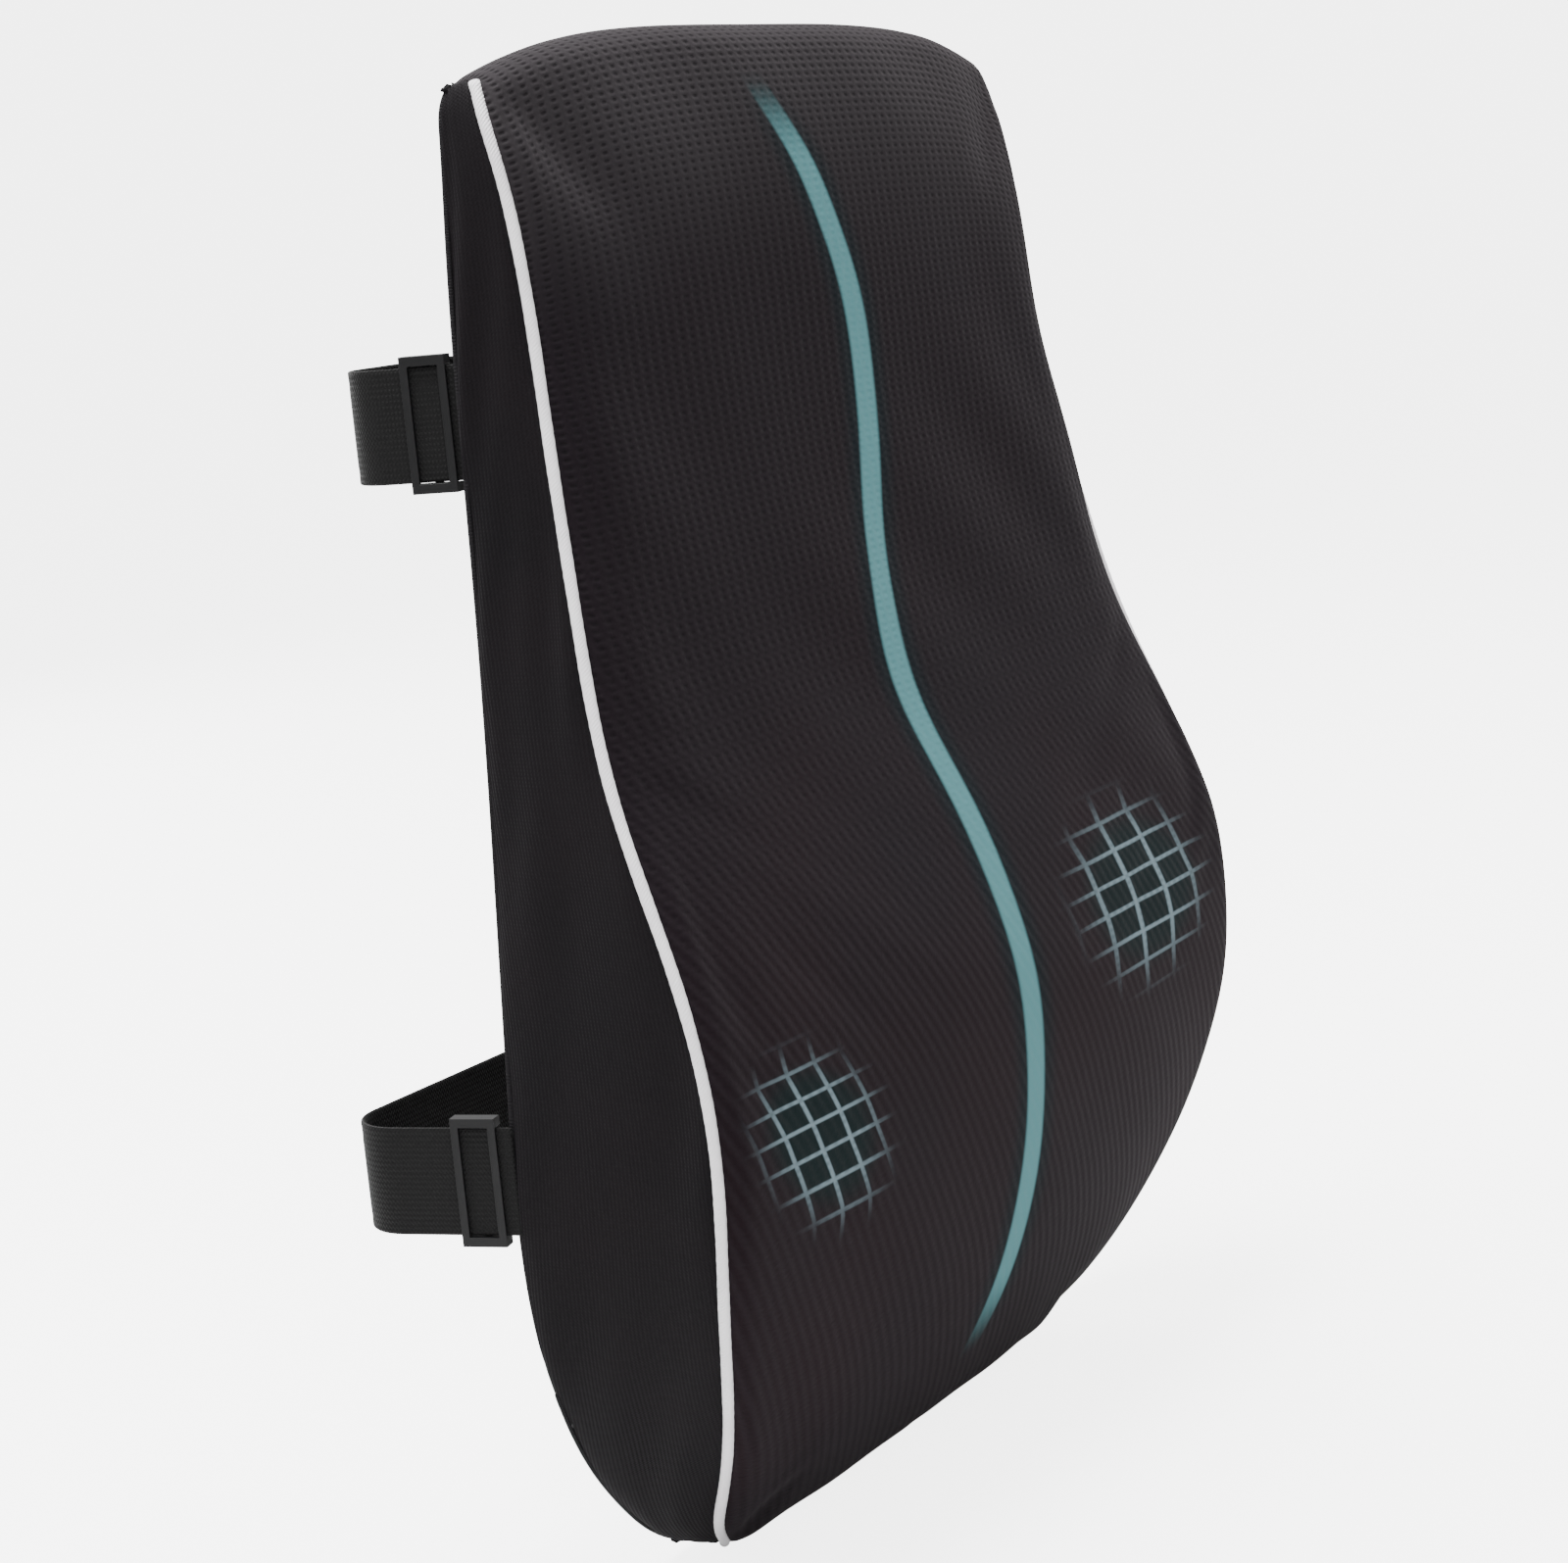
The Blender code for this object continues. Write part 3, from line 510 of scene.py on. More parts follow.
def back_cloth():
    """Plain weave: a bump where a cosine across and one along the cloth agree, and faint mottling."""
    f = Finish("back_cloth", 0.8, sheen=0.02, specular=0.10)
    across, along, _ = f.cloth()
    warp = (across * (2 * math.pi / 0.0010)).cosine()
    weft = (along * (2 * math.pi / 0.0010)).cosine()
    tone = f.noise(11.0, 3.0, 0.6)
    yarn = f.noise(1000.0, 1.0)
    ground = f.mix(tone, (0.0060, 0.0054, 0.0064), (0.0095, 0.0084, 0.0096))
    ground = f.mix(yarn * 0.3 + warp * weft * 0.1, ground, (0.022, 0.021, 0.023))
    normal = f.bump(warp * weft + yarn * 0.6, 0.00018, 0.7)
    return f.set(colour=ground, roughness=0.74 + yarn * 0.12, normal=normal)


def piping_cloth():
    """White bias tape rolled round a cord: a fine slanting twill and slight soiling."""
    f = Finish("piping_white", 0.62, sheen=0.25, specular=0.35)
    along, around, _ = f.cloth()
    twill = ((along + around * 0.8) * (2 * math.pi / 0.0011)).cosine()
    tone = f.noise(60.0, 3.0, 0.6)
    ground = f.mix(tone.above(0.35, 0.75), (0.93, 0.91, 0.93), (0.84, 0.81, 0.84))
    ground = f.mix((twill * 0.5 + 0.5) * 0.16, ground, (0.68, 0.65, 0.68))
    return f.set(colour=ground, roughness=0.55 + tone * 0.12, normal=f.bump(twill, 0.00010, 0.6))


def webbing_cloth():
    """Smooth black band: fine ribs along it, a thicker selvedge and a faint weave."""
    f = Finish("webbing", 0.62, sheen=0.015, specular=0.12)
    along, across, _ = f.cloth()
    rib = (across * (2 * math.pi / 0.0016)).cosine()
    pick = (along * (2 * math.pi / 0.0012)).cosine()
    tone = f.noise(18.0, 3.0, 0.55)
    yarn = f.noise(800.0, 1.0)
    ground = f.mix(tone, (0.0032, 0.0031, 0.0033), (0.0052, 0.0050, 0.0050))
    ground = f.mix((rib * pick * 0.5 + 0.5) * 0.35 + yarn * 0.2, ground, (0.0105, 0.0104, 0.0106))
    normal = f.bump(rib * pick + rib + yarn, 0.00012, 0.7)
    return f.set(colour=ground, roughness=0.55 + yarn * 0.14, normal=normal)


def plastic(name, colour, roughness=0.42):
    """Moulded plastic: fine spark grain, slight scuffs on its roughness."""
    f = Finish(name, roughness, specular=0.25)
    grit = f.noise(1600.0, 3.0, 0.6)
    scuff = f.noise(45.0, 4.0, 0.65)
    worn = tuple(min(1.0, c * 1.9 + 0.006) for c in colour)
    ground = f.mix(scuff.above(0.52, 0.78) * 0.5, colour, worn)
    normal = f.bump(grit, 0.00005, 0.6)
    return f.set(colour=ground, roughness=(roughness - 0.08) + scuff * 0.2, normal=normal)


def metal(name, colour, roughness=0.34):
    """Dark coated metal with brushed wear."""
    f = Finish(name, roughness, metallic=0.9)
    rub = f.noise(120.0, 4.0, 0.6)
    fine = f.noise(1500.0, 2.0)
    ground = f.mix(rub.above(0.5, 0.8) * 0.6, colour, tuple(c * 2.4 for c in colour))
    return f.set(colour=ground, roughness=(roughness - 0.06) + rub * 0.2, normal=f.bump(fine, 0.00003, 0.5))


def tape_cloth():
    """Woven zip tape: herringbone from two slanting waves."""
    f = Finish("zip_tape", 0.75, sheen=0.1, specular=0.3)
    along, across, _ = f.cloth()
    herring = ((along + abs((across * 250.0).fraction() - 0.5) * 0.006) * (2 * math.pi / 0.0012)).cosine()
    yarn = f.noise(900.0, 2.0)
    ground = f.mix(yarn * 0.5 + herring * 0.2, (0.0085, 0.0085, 0.009), (0.022, 0.022, 0.023))
    return f.set(colour=ground, normal=f.bump(herring + yarn, 0.00012, 0.7))


def thread_look(name, colour):
    """Twisted thread: a tight slanting wave along each stitch."""
    f = Finish(name, 0.55, sheen=0.2, specular=0.4)
    x, y, z = f.here()
    twist = ((x + y + z) * (2 * math.pi / 0.0006)).cosine()
    lighter = tuple(min(1.0, c * 1.7) for c in colour)
    return f.set(colour=f.mix(twist * 0.3 + 0.4, colour, lighter), normal=f.bump(twist, 0.00008, 0.6))


LOOKS = {
    "front": air_mesh(),
    "gusset": gusset_cloth(),
    "back": back_cloth(),
    "piping": piping_cloth(),
    "webbing": webbing_cloth(),
    "buckle": plastic("buckle_plastic", (0.0055, 0.0055, 0.0060)),
    "zip_plastic": plastic("zip_plastic", (0.012, 0.012, 0.013), roughness=0.36),
    "zip_metal": metal("zip_metal", (0.10, 0.10, 0.105)),
    "tape": tape_cloth(),
    "thread": thread_look("black_thread", (0.012, 0.012, 0.013)),
}

# ---------------------------------------------------------------- the cushion's form


def seam_path(count):
    """(y, height above the foot) of the front seam: up the front, rolled under the foot and over the top.

    Between the rolls, y is the cubic through SEAM_DEPTH; each roll runs straight to the back edge.
    """
    height = HEIGHT * (1 - np.cos(np.linspace(0, np.pi, 400))) / 2
    main = np.stack([spline(SEAM_DEPTH, height), height], axis=1)
    start = np.linspace([-0.0040, 0.0012], main[0], 12)[:-1]
    end = np.linspace(main[-1], [-0.0035, HEIGHT - 0.0022], 10)[1:]
    path = evenly(np.concatenate([start, main, end]), 6 * count)
    return evenly(rolled(path, 8), count)


def edge_paths(count):
    """The front seam and the back seam on the +X side, row by row."""
    y, height = seam_path(count).T
    low = 0.0022
    back_height = low + height * (HEIGHT - 2 * low) / HEIGHT
    q = [np.clip(1 - gap / ROLL_HEIGHT, 0, 1) for gap in (back_height, HEIGHT - back_height)]
    back_y = -ROLL_DEPTH * sum(1 - np.sqrt(1 - np.minimum(k, 0.999) ** 2) for k in q)
    front = np.stack([spline(FRONT_HALF, height), y, height + FOOT], axis=1)
    back = np.stack([spline(BACK_HALF, back_height), back_y, back_height + FOOT], axis=1)
    return front, back


def spread(count, share=0.62):
    """Shares from -1 to 1, closer together near both ends."""
    even = np.linspace(-1, 1, count)
    return share * np.sin(even * np.pi / 2) + (1 - share) * even


def arch(u, height, start):
    """Rise of the top edge: one less the fourth power of u across, growing from the starting height up."""
    return TOP_ARCH * (1 - u**4) * ease((height - start) / (HEIGHT - start))


def front_grid(edge):
    """The front: across the width, a shallow crown and a steep quarter-round shoulder at each seam."""
    u = spread(ACROSS)[None, :]
    half, y, z = (edge[:, k][:, None] for k in range(3))
    height = np.clip(z - FOOT, 0, HEIGHT)
    crown = spline(CROWN, height)
    inside = half * (1 - np.abs(u))
    shoulder = np.sqrt(1 - (1 - np.clip(inside / SHOULDER_REACH, 0, 1)) ** 2)
    steep = np.minimum(SHOULDER_DEPTH, crown)
    rise = steep * shoulder + (crown - steep) * (1 - u**2)
    # The crown dies out where the cloth turns in to the back, at both ends of the path.
    step = lengths(edge[:, 1:])[:, None]
    fade = ease(step / 0.014) * ease((step[-1] - step) / 0.011)
    grid = np.empty((len(edge), ACROSS, 3))
    grid[..., 0] = u * half
    grid[..., 1] = y - rise * fade
    grid[..., 2] = z + arch(u, height, 0.34)
    return grid


def side_grid(front, back, sign):
    """A gusset: straight from the piping to the back seam."""
    s = (spread(SIDE_ACROSS, 0.5)[None, :, None] + 1) / 2
    grid = front[:, None] * (1 - s) + back[:, None] * s
    grid[..., 0] *= sign
    return grid


def back_grid(edge):
    """The flat back, straight across from seam to seam."""
    u = spread(ACROSS)[None, :]
    grid = np.repeat(edge[:, None], ACROSS, axis=1)
    grid[..., 0] = u * edge[:, :1]
    grid[..., 2] += arch(u, edge[:, 2:] - FOOT, 0.38)
    return grid


def puffed(grids, cap, pressure=4.0, frames=20):
    """Blows the closed cover up as cloth, and gives each grid's points afterwards.

    The pins hold every seam and both ends. A point moves cap times the hyperbolic tangent of its own
    shift over cap, so none moves further than cap.
    """
    front, left, right, back = grids
    rows = len(front)
    points = np.concatenate([g.reshape(-1, 3) for g in grids])
    starts = np.cumsum([0] + [g.shape[0] * g.shape[1] for g in grids])
    faces = [tuple(f) for g, start in zip(grids, starts) for f in grid_faces(*g.shape[:2], start=start)]
    # Strips close the foot and the top between the front's and the back's end rows.
    for row in (0, rows - 1):
        a = starts[0] + row * ACROSS + np.arange(ACROSS)
        b = starts[3] + row * ACROSS + np.arange(ACROSS)
        faces += [tuple(q) for q in np.stack([a[:-1], a[1:], b[1:], b[:-1]], axis=1)]
    for start in starts[1:3]:
        for row in (0, rows - 1):
            faces.append(tuple(start + row * SIDE_ACROSS + np.arange(SIDE_ACROSS)))
    shell = tidy_normals(add_piece("cover_shell", points, faces))
    rest = np.empty(len(shell.data.vertices) * 3)
    shell.data.vertices.foreach_get("co", rest)
    rest = rest.reshape(-1, 3)
    # Where each grid point went when the seams were merged: both lie at the same rounded place.
    both = np.round(np.concatenate([rest, points.astype(np.float32)]), 5) + 0.0
    group = np.unique(both, axis=0, return_inverse=True)[1].ravel()
    holder = np.empty(group.max() + 1, int)
    holder[group[:len(rest)]] = np.arange(len(rest))
    index = holder[group[len(rest):]]
    pins = shell.vertex_groups.new(name="pins")
    wide = [index[starts[k]:starts[k + 1]].reshape(rows, ACROSS) for k in (0, 3)]
    held = np.concatenate([edge.ravel() for w in wide for edge in (w[:, [0, -1]], w[[0, -1]])])
    pins.add(np.unique(held).tolist(), 1.0, "REPLACE")
    cloth = shell.modifiers.new("cloth", "CLOTH")
    settings = cloth.settings
    settings.quality = 6
    settings.mass = 0.25
    settings.tension_stiffness = settings.compression_stiffness = 22
    settings.shear_stiffness = 8
    settings.bending_stiffness = 1.2
    settings.vertex_group_mass = "pins"
    settings.use_pressure = True
    settings.uniform_pressure_force = pressure
    settings.effector_weights.gravity = 0
    cloth.collision_settings.use_collision = False
    cloth.point_cache.frame_start, cloth.point_cache.frame_end = 1, frames
    scene = bpy.context.scene
    for step in range(1, frames + 1):
        scene.frame_set(step)
    swollen = shell.evaluated_get(bpy.context.evaluated_depsgraph_get())
    moved = np.empty(len(rest) * 3)
    swollen.data.vertices.foreach_get("co", moved)
    scene.frame_set(1)
    shift = moved.reshape(-1, 3) - rest
    far = np.linalg.norm(shift, axis=1, keepdims=True)
    shift *= cap * np.tanh(far / cap) / np.maximum(far, 1e-9)
    bpy.data.objects.remove(shell)
    shift = shift[index]
    return [g + shift[a:b].reshape(g.shape) for g, a, b in zip(grids, starts, starts[1:])]


def tucked(grid, seat, depth, reach):
    """Draws the grid's long edges in towards the seam, in a curl that dies out over reach from each edge.

    seat is the way in, one vector for each edge and row.
    """
    out = grid.copy()
    for k in (0, 1):
        edge = grid[:, -k]
        away = np.linalg.norm(grid - edge[:, None], axis=2)
        fall = np.exp(-((away / reach) ** 2))
        out += (depth * fall)[..., None] * seat[k][:, None]
    return out


def inward(points):
    """Unit vectors from the points towards the cushion's middle plane, level with them."""
    target = np.stack([points[:, 0] * 0.6, np.full(len(points), -0.012), points[:, 2] * 0.96], axis=1)
    return unit(target - points)


front_edge, back_edge = edge_paths(ALONG)
mirror = np.array([-1.0, 1.0, 1.0])
panels = [
    front_grid(front_edge),
    side_grid(front_edge, back_edge, -1),
    side_grid(front_edge, back_edge, 1),
    back_grid(back_edge),
]
panels = puffed(panels, cap=SWELL)
front, left, right, back = panels
seam_in = inward(front_edge)
back_in = inward(back_edge)
front = tucked(front, (seam_in * mirror, seam_in), SEAM_TUCK, FRONT_REACH)
left = tucked(left, (seam_in * mirror, back_in * mirror), SEAM_TUCK, EDGE_REACH)
right = tucked(right, (seam_in, back_in), SEAM_TUCK, EDGE_REACH)
back = tucked(back, (back_in * mirror, back_in), BACK_TUCK, EDGE_REACH)
left[..., 0] += SIDE_RIPPLE * wander(left.shape[:2], seed=3, waves=7)
right[..., 0] += SIDE_RIPPLE * wander(right.shape[:2], seed=4, waves=7)
front[..., 1] += FRONT_RIPPLE * wander(front.shape[:2], seed=5, waves=9)


def cloth_map(grid, flip=False):
    """Distances along and across a grid, from its middle column and its first row."""
    middle = grid.shape[1] // 2
    steps = np.linalg.norm(np.diff(grid, axis=1), axis=2)
    across = np.concatenate([np.zeros((len(grid), 1)), np.cumsum(steps, axis=1)], axis=1)
    across -= across[:, middle:middle + 1]
    along = np.repeat(lengths(grid[:, middle])[:, None], grid.shape[1], axis=1)
    pair = (along, across) if flip else (across, along)
    return np.stack(pair, axis=-1).reshape(-1, 2)


def panel(name, grid, look, nodes, flip_map=False):
    """One cloth panel of the cover, facing out, with its thickness inward."""
    piece = add_piece(name, grid.reshape(-1, 3), grid_faces(*grid.shape[:2]), look, cloth_map(grid, flip_map))
    middle = piece.data.polygons[len(piece.data.polygons) // 2]
    if middle.normal.dot(Vector((0, -0.03, 0)) - middle.center) > 0:
        piece.data.flip_normals()
    finer(piece)
    thick(piece, COVER)
    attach(piece, "cushion")
    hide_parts(*nodes)
    return piece


# ---------------------------------------------------------------- printed patterns

# Height above the foot, and how far the printed line lies to the right there.
LINE_PLACE = (
    (0.000, 0.044, 0.081, 0.120, 0.159, 0.197, 0.236, 0.274,
     0.310, 0.346, 0.383, 0.402, 0.420, 0.440, 0.450),
    (0.0000, -0.0010, -0.0005, 0.0020, 0.0018, 0.0000, -0.0040, -0.0070,
     0.0003, 0.0080, 0.0056, -0.0013, -0.0101, -0.0240, -0.0300),
)
LINE_ENDS = (0.030, 0.062, 0.418, 0.446)  # heights where it starts, is full, is still full and ends

# Each grid's row heights, the drift of its columns from row to row, its first column and their pitch.
GRIDS = {
    "left": {
        "rows": (0.1662, 0.1577, 0.1495, 0.1405, 0.1305, 0.1195),
        "drift": (0.0, 0.0045, 0.0088, 0.0125, 0.0172, 0.0220),
        "first": -0.1482, "pitch": 0.0140, "middle": (1.2, 2.4), "reach": (2.6, 3.6),
    },
    "right": {
        "rows": (0.1938, 0.1838, 0.1742, 0.1647, 0.1544, 0.1443),
        "drift": (0.0, 0.0050, 0.0085, 0.0118, 0.0128, 0.0120),
        "first": 0.0505, "pitch": 0.0225, "middle": (1.4, 2.6), "reach": (2.6, 3.8),
    },
}


def printed_line(points):
    """Distance to the right of the printed line, and how fully it shows."""
    height = points[..., 2] - FOOT
    aside = points[..., 0] - spline(LINE_PLACE, height)
    start, full, still, end = LINE_ENDS
    shown = ease((height - start) / (full - start)) * ease((end - height) / (end - still))
    facing = ease((-0.004 - points[..., 1]) / 0.004)
    return np.stack([aside, shown * facing, np.zeros_like(aside)], axis=-1)


def printed_grid(points):
    """Column, row and strength of the printed grid on this half of the front.

    Rows follow the listed heights; columns are spaced evenly and drift from row to row; strength is 1
    near the grid's middle and dies out along an ellipse.
    """
    x, height = points[..., 0], points[..., 2] - FOOT
    result = np.zeros(points.shape)
    for side, chosen in (("left", x < 0), ("right", x >= 0)):
        g = GRIDS[side]
        rows = np.array(g["rows"])
        pitch = rows[0] - rows[1], rows[-2] - rows[-1]
        heights = np.concatenate([[rows[0] + 6 * pitch[0]], rows, [rows[-1] - 6 * pitch[1]]])
        numbers = np.array([-6, 0, 1, 2, 3, 4, 5, 11.0])
        row = np.interp(height, heights[::-1], numbers[::-1])
        column = (x - g["first"] - np.interp(row, np.arange(6), g["drift"])) / g["pitch"]
        away = np.hypot((column - g["middle"][0]) / g["reach"][0], (row - g["middle"][1]) / g["reach"][1])
        strength = 1 - ease((away - 0.38) / 0.62)
        result[chosen] = np.stack([column, row, strength], axis=-1)[chosen]
    return result


def store(piece, name, values):
    """Keeps three values for each point on the piece, for its material."""
    layer = piece.data.attributes.new(name, "FLOAT_VECTOR", "POINT")
    layer.data.foreach_set("vector", np.asarray(values, np.float32).ravel())


# The front's end rows run on to the back panel's, so that the cloth turns in under the back.
under = back[:1] * UNDER_NARROW + [0, UNDER_IN, UNDER_RISE]
over = back[-1:] * UNDER_NARROW + [0, UNDER_IN, -UNDER_RISE]
front_full = np.concatenate([under, front, over])
front_nodes = ("front_panel", "foam_core", "foam_liner")
front_cover = panel("front_cover", front_full, LOOKS["front"], front_nodes)
store(front_cover, "print_line", printed_line(front_full))
store(front_cover, "print_grid", printed_grid(front_full))
panel("side_cover_left", left, LOOKS["gusset"], ("side_panel_left",), True)
panel("side_cover_right", right, LOOKS["gusset"], ("side_panel_right",), True)


def back_rows(upper):
    """One back panel's rows: cut at the zip, its edge folded under, and closing over the zip's ends."""
    sign = 1 if upper else -1
    row_z = back[:, ACROSS // 2, 2]
    near = sign * (row_z - ZIP_Z)
    # Rows that lie almost on the next one out, at the foot and the top, are left out.
    step = np.diff(row_z) > 0.0008
    apart = np.where(row_z < 0, np.append(True, step), np.append(step, True))
    rows = back[apart & (near > ZIP_OPENING / 2 + 0.0015)].copy()
    edge = back[np.argmin(np.abs(near))][None].copy()
    closing = ease((np.abs(edge[..., 0]) - ZIP_END) / ZIP_CLOSING)
    open_here = ZIP_OPENING / 2 * (1 - closing) + 0.0002
    edge[..., 2] = ZIP_Z + sign * open_here
    roll = edge + [0, -0.0012, 0]
    roll[..., 2] += sign * 0.0004
    under = roll.copy()
    under[..., 1] -= 0.0004
    under[..., 2] += sign * FOLD_WIDTH
    for fold in (roll, under):
        fold[..., 0] *= 1 - FOLD_INSET / np.abs(edge[:, -1:, 0])
    lead = edge.copy()
    lead[..., 2] += sign * 0.0012
    stack = [under, roll, edge, lead, rows] if upper else [rows, lead, edge, roll, under]
    return np.concatenate(stack)


for level in ("upper", "lower"):
    rows = back_rows(level == "upper")
    panel(f"back_cover_{level}", rows, LOOKS["back"], (f"back_panel_{level}",))

# ---------------------------------------------------------------- piping


def make_piping():
    """Round piping on each front seam: a circle carried along the seam, a little puckered by its stitches."""
    turn = np.linspace(0, 2 * np.pi, 17)[:-1]
    for side, sign in (("left", -1), ("right", 1)):
        least = np.where(front_edge[:, 2] < 0, PIPING_FOOT, PIPING_TOP)
        path = evenly(front_edge[-front_edge[:, 1] > least], 300)
        path = path + inward(path) * PIPING_SINK
        path[:, 0] *= sign
        step = lengths(path)
        pucker = 1 + 0.03 * np.sin(2 * np.pi * step / 0.0042) + 0.02 * np.sin(2 * np.pi * step / 0.031)
        section = PIPING_RADIUS * pucker[:, None, None] * np.stack([np.cos(turn), np.sin(turn)], axis=1)
        piece = sweep(f"piping_cover_{side}", path, section, LOOKS["piping"], up=(1, 0, 0))
        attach(piece, "cushion")
        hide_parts(f"piping_{side}", f"piping_core_{side}")


make_piping()

# ---------------------------------------------------------------- straps


def arc(centre, radius, start, end, count):
    """Points on an arc in the XY plane, its angles in radians."""
    turn = np.linspace(start, end, count)
    return np.stack([centre[0] + radius * np.cos(turn), centre[1] + radius * np.sin(turn)], axis=1)


def strap_path(seam_x, depth, bar_x):
    """Webbing on the left: out of the seam, along its run, round the bend, to the buckle's bar and back."""
    close = WEBBING / 2 + GAP / 2
    far = depth - close
    heading = math.pi / 2 + STRAP_LEAN
    start = np.array([-seam_x, STRAP_ROOT])
    rise = STRAP_BEND * (1 - math.cos(heading))
    run = (far - start[1] - rise) / math.sin(heading)
    ahead = np.array([math.cos(heading), math.sin(heading)])
    corner = start + run * ahead
    centre = corner + STRAP_BEND * np.array([math.sin(heading), -math.cos(heading)])
    out = np.linspace(start, corner, 12)[:-1]
    bend = arc(centre, STRAP_BEND, heading + math.pi / 2, math.pi / 2, 22)
    tail_x = bar_x - TAIL
    flat = np.linspace([centre[0], far], [tail_x, far], 30)[1:]
    reach = BAR_HALF + GAP + WEBBING / 2 + GAP / 3
    spread_out = np.array([[bar_x - FOLD_START, far], [bar_x - FOLD_NEAR, depth - reach]])
    fold = arc((bar_x + BAR_MIDDLE, depth), reach, -math.pi / 2, math.pi / 2, 15)
    back_again = spread_out[::-1] * [1, -1] + [0, 2 * depth]
    tail = np.array([[tail_x, depth + close]])
    return np.concatenate([out, bend, flat, spread_out, fold, back_again, tail])


def band_section(thickness=WEBBING, half_width=WEBBING_HALF, groove=0.0128):
    """Flat woven band: a rounded rectangle with a shallow groove on both faces beside each selvedge."""
    outline = rounded(thickness / 2, half_width, thickness / 2.2, 4)
    up = np.linspace(SELVEDGE - half_width, half_width - SELVEDGE, 14)
    half = thickness / 2 * (1 - 0.12 * np.exp(-(((np.abs(up) - groove) / SELVEDGE) ** 2)))
    faces = np.stack([half, up], axis=1)
    top = outline[outline[:, 1] > half_width - SELVEDGE]
    top = top[np.argsort(-top[:, 0])]
    return np.concatenate([faces, top, faces[::-1] * [-1, 1], -top])


def make_straps():
    """Both straps: the left length stays with the cushion, and the right one is mirrored across and left
    where it lies.
    """
    for level, strap in STRAPS.items():
        z = strap["height"]
        for side, bar in BARS.items():
            flat = strap_path(strap["seam"], strap["depth"], bar)
            path = np.column_stack([flat, np.full(len(flat), z)])
            path = rolled(evenly(path, 190), 2)
            piece = sweep(f"webbing_{level}_{side}", path, band_section(), LOOKS["webbing"])
            if side == "right":
                piece.data.transform(Matrix.Scale(-1, 4, (1, 0, 0)))
                tidy_normals(piece)
                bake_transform(piece)
            else:
                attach(piece, "cushion")
            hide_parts(f"strap_{level}_{side}")


make_straps()


def stitched(name, lines, look, pitch=0.0024, length=0.0017, radius=0.00028):
    """A row of stitches along each line: each is a six-sided thread, full in its middle and thin at its ends.

    lines is a list of (start, end) points, and the thread half sinks into the cloth there.
    """
    turn = np.linspace(0, 2 * np.pi, 7)[:-1]
    along = np.linspace(-0.5, 0.5, 5)
    full = radius * np.sqrt(np.clip(1 - (2 * along) ** 2 * 0.9, 0, 1))
    points, faces, count = [], [], 0
    for start, end in lines:
        start, end = np.array(start, float), np.array(end, float)
        reach = np.linalg.norm(end - start)
        ahead = (end - start) / reach
        side = unit(np.cross(ahead, [0.0, 1.0, 0.0]))
        number = max(1, int(reach / pitch))
        middles = start + ahead * (np.arange(number)[:, None] + 0.5) * reach / number
        ring = np.cos(turn)[:, None] * side + np.sin(turn)[:, None] * np.array([0.0, 0.6, 0.0])
        thread = along[:, None, None] * length * ahead + full[:, None, None] * ring[None]
        points.append((middles[:, None, None] + thread[None]).reshape(-1, 3))
        one = [tuple(f) for f in grid_faces(len(along), 6, wrap=True)]
        one += [tuple(range(6)), tuple(range(24, 30))[::-1]]
        faces += [tuple(v + count + 30 * k for v in face) for k in range(number) for face in one]
        count += 30 * number
    return tidy_normals(add_piece(name, np.concatenate(points), faces, look), 1e-9)


def box_lines(x, z, y):
    """Edges and diagonals of a stitched box on a plane of constant y."""
    corners = ((-1, -1), (1, -1), (1, 1), (-1, 1))
    a, b, c, d = [(x + sx * BOX_HALF_X, y, z + sz * BOX_HALF_Z) for sx, sz in corners]
    return [(a, b), (b, c), (c, d), (d, a), (a, c), (b, d)]


def make_stitches():
    """The stitched box on each folded webbing end, and the two rows beside the zip."""
    for level, strap in STRAPS.items():
        face = strap["depth"] + GAP / 2 + WEBBING + 0.00005
        for side, sign, body in (("left", 1, "cushion"), ("right", -1, f"plug_{level}")):
            middle = sign * (BARS[side] - BOX_IN)
            lines = box_lines(middle, strap["height"], face)
            piece = stitched(f"stitches_{level}_{side}", lines, LOOKS["thread"])
            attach(piece, body)
    lines = []
    for sign in (-1, 1):
        z = ZIP_Z + sign * (ZIP_OPENING / 2 + ZIP_STITCH_OUT)
        lines.append(((-ZIP_STITCH_END, 0.00005, z), (ZIP_STITCH_END, 0.00005, z)))
    piece = stitched("stitches_zip", lines, LOOKS["thread"], pitch=0.0030, length=0.0022)
    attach(piece, "cushion")


make_stitches()


def make_zip_tapes():
    """The zip's two woven tapes, which lie behind the teeth and wave slightly between their stitches."""
    x = np.linspace(-TAPE_END, TAPE_END, 181)
    for level, sign in (("upper", 1), ("lower", -1)):
        wave = TAPE_WAVE * np.sin(x * (2 * math.pi / TAPE_PITCH) + sign)
        path = np.column_stack([x, TAPE_DEPTH + wave, np.full(len(x), ZIP_Z + sign * TAPE_MIDDLE)])
        section = band_section(TAPE, TAPE_HALF, TAPE_HALF - 0.0016)
        piece = sweep(f"zip_tape_{level}_woven", path, section, LOOKS["tape"])
        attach(piece, "cushion")
        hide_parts(f"zip_tape_{level}")


make_zip_tapes()

# ---------------------------------------------------------------- hard pieces

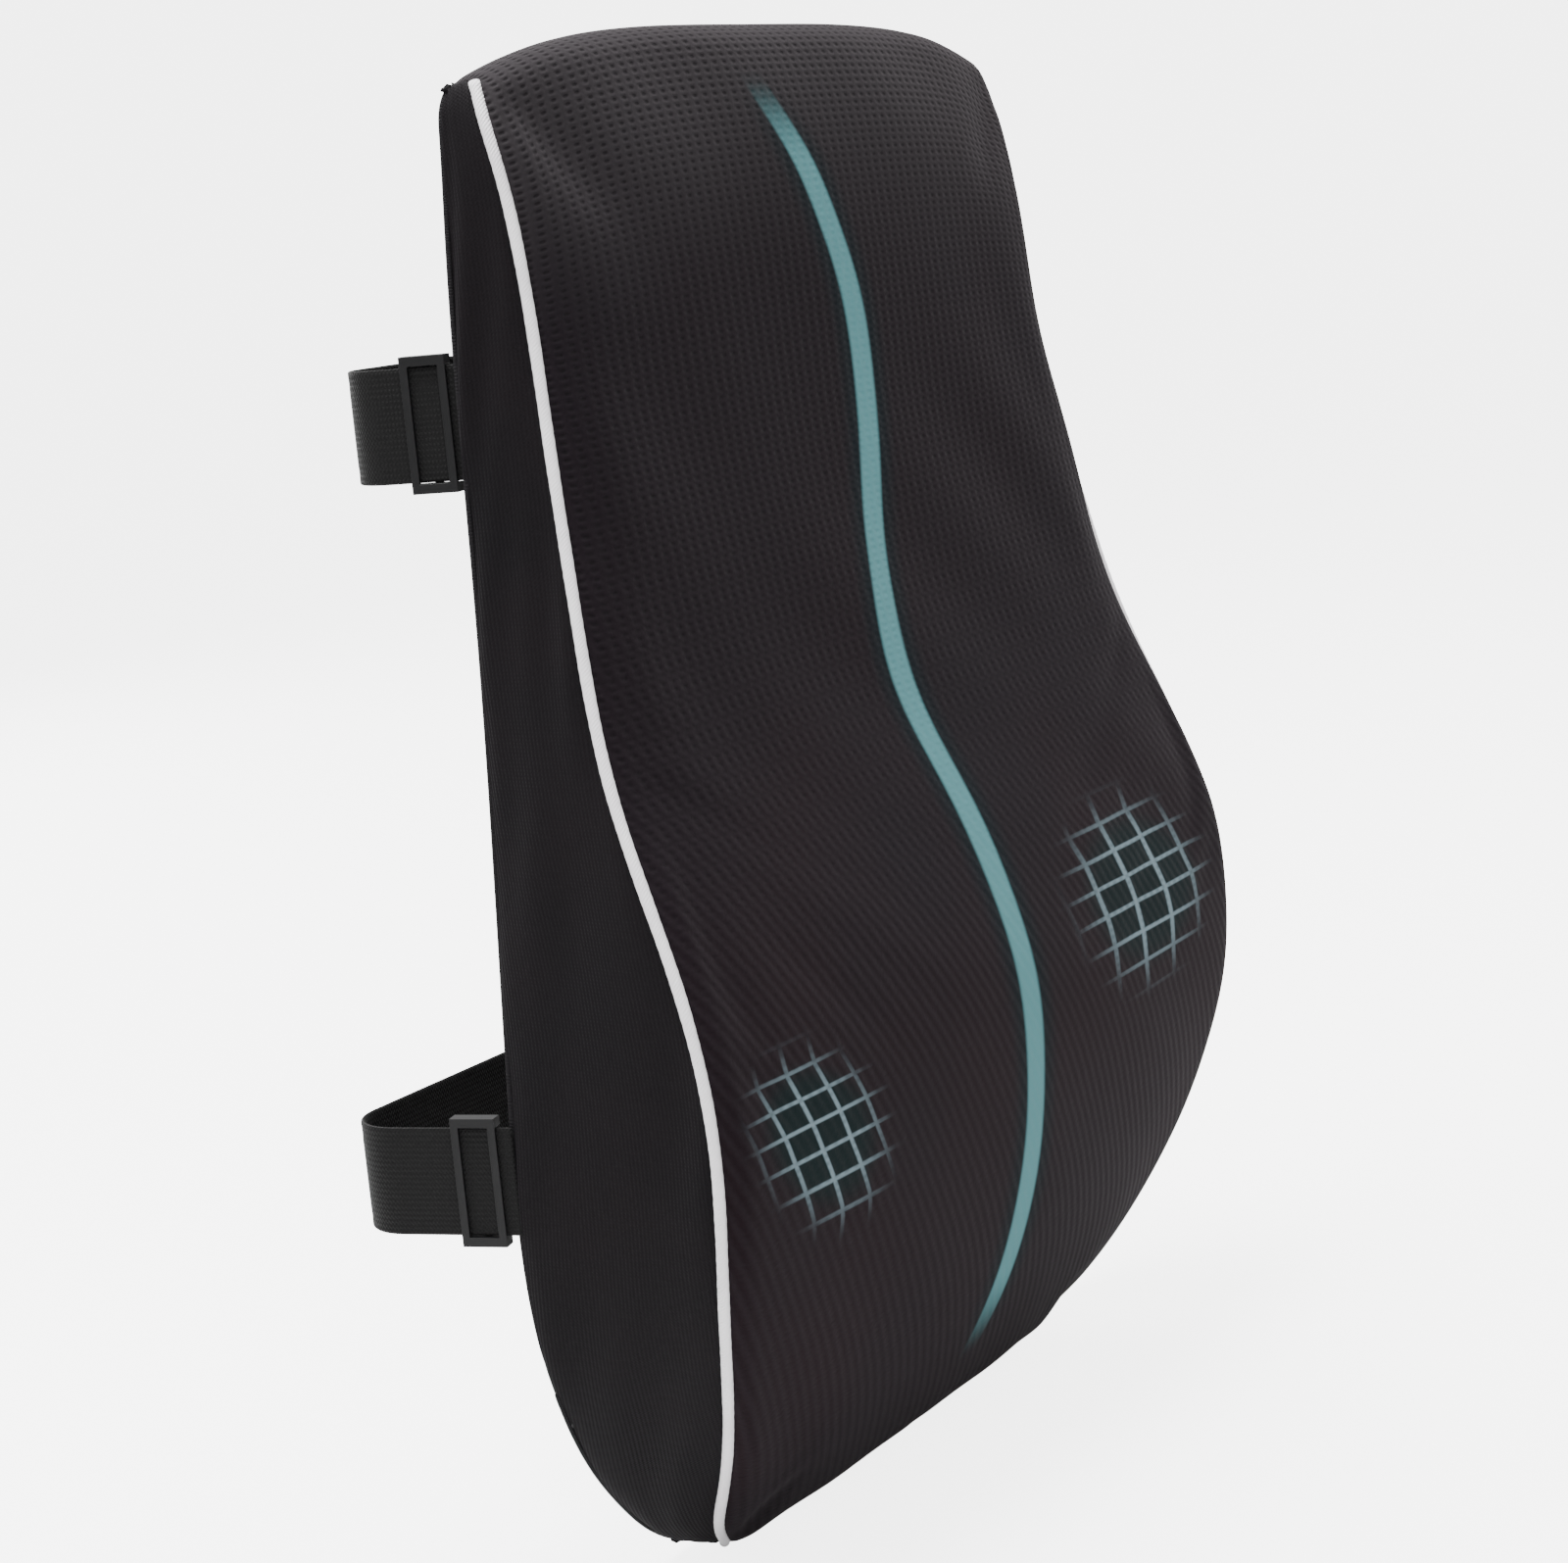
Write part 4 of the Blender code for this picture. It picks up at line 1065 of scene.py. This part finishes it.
BODY_OF = {node: body for body, nodes in frame["record"]["behaviour"]["bodies"].items() for node in nodes}
HARD = (  # a part of the names, look, slot and how far each edge is eased
    ("_arm_", "buckle", "buckle_plastic", 0.0005),
    ("_plug", "buckle", "buckle_plastic", 0.0005),
    ("zip_slider", "zip_metal", "zip_metal", 0.00018),
    ("zip_pull", "zip_metal", "zip_metal", 0.00022),
    ("zip_stop", "zip_metal", "zip_metal", 0.00018),
)
KEPT = (  # nodes that keep their own shape: easing would fold their thin walls and slots
    ("_socket", "buckle"),
    ("adjuster", "buckle"),
    ("zip_teeth", "zip_plastic"),
)


def moulded(name, look, width):
    """A hard piece with its flat faces made whole and its edges eased, in its node's place."""
    shape = bmesh.new()
    shape.from_mesh(frame["nodes"][name].data)
    bmesh.ops.remove_doubles(shape, verts=shape.verts, dist=2e-6)
    bmesh.ops.dissolve_limit(shape, angle_limit=math.radians(1), verts=shape.verts, edges=shape.edges)
    mesh = bpy.data.meshes.new(name + "_eased")
    shape.to_mesh(mesh)
    shape.free()
    mesh.materials.append(look)
    piece = bpy.data.objects.new(name + "_eased", mesh)
    bpy.context.scene.collection.objects.link(piece)
    eased_edges(piece, width)
    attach(piece, BODY_OF[name])
    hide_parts(name)


def make_hard_pieces():
    """Every hard node: an eased copy in its place, or its own shape in a better material."""
    for name in sorted(frame["nodes"]):
        for part, look, slot, width in HARD:
            if part in name:
                moulded(name, LOOKS[look], width)
        for part, look in KEPT:
            if part in name:
                node = frame["nodes"][name]
                node.data.materials.clear()
                node.data.materials.append(LOOKS[look])


make_hard_pieces()

# ---------------------------------------------------------------- studio


def make_studio():
    """Pale floor, a pale surround and soft lights from above, in front and behind.

    The surround and the floor look brighter than the light they give, so that dark cloth stays dark.
    """
    scene = bpy.context.scene
    shine, seen = 0.85, 5.0
    floor = Finish("floor", 0.8, specular=0.1)
    watched = floor.node("ShaderNodeLightPath", output="Is Camera Ray")
    tone = floor.noise(2.0, 2.0)
    floor.set(colour=floor.mix(tone, (0.80, 0.80, 0.80), (0.82, 0.82, 0.82)))
    floor.put(floor.shader.inputs["Emission Color"], floor.mix(watched, (0, 0, 0), (1, 1, 1)))
    floor.shader.inputs["Emission Strength"].default_value = seen - 0.81 * shine
    turn = np.linspace(0, 2 * np.pi, 97)[:-1]
    rim = np.stack([90 * np.cos(turn), 90 * np.sin(turn), np.full(len(turn), FOOT - 0.0026)], axis=1)
    ground = add_piece("floor", rim, [tuple(range(len(turn)))], floor.material, smooth=False)
    scene.world = bpy.data.worlds.new("surround")
    scene.world.use_nodes = True
    tree = scene.world.node_tree
    rays = tree.nodes.new("ShaderNodeLightPath")
    level = tree.nodes.new("ShaderNodeMapRange")
    level.inputs["To Min"].default_value = shine
    level.inputs["To Max"].default_value = seen
    tree.links.new(rays.outputs["Is Camera Ray"], level.inputs["Value"])
    tree.links.new(level.outputs["Result"], tree.nodes["Background"].inputs["Strength"])
    tree.nodes["Background"].inputs["Color"].default_value = (1, 1, 1, 1)
    for name, place, aim, size, power in (
        ("top_light", (-0.30, 0.15, 1.5), (0, 0, 0.1), 0.9, 60),
        ("front_light", (-1.7, -1.2, 0.7), (0, 0, 0), 1.2, 8),
        ("right_light", (1.7, -0.6, 0.8), (0, 0, 0), 1.0, 7),
        ("back_light", (0.7, 1.9, 0.8), (0, 0, 0), 1.2, 34),
    ):
        lamp = bpy.data.lights.new(name, "AREA")
        lamp.shape, lamp.size, lamp.energy = "DISK", size, power
        light = bpy.data.objects.new(name, lamp)
        scene.collection.objects.link(light)
        light.location = place
        light.rotation_euler = (Vector(aim) - Vector(place)).to_track_quat("-Z", "Y").to_euler()


make_studio()
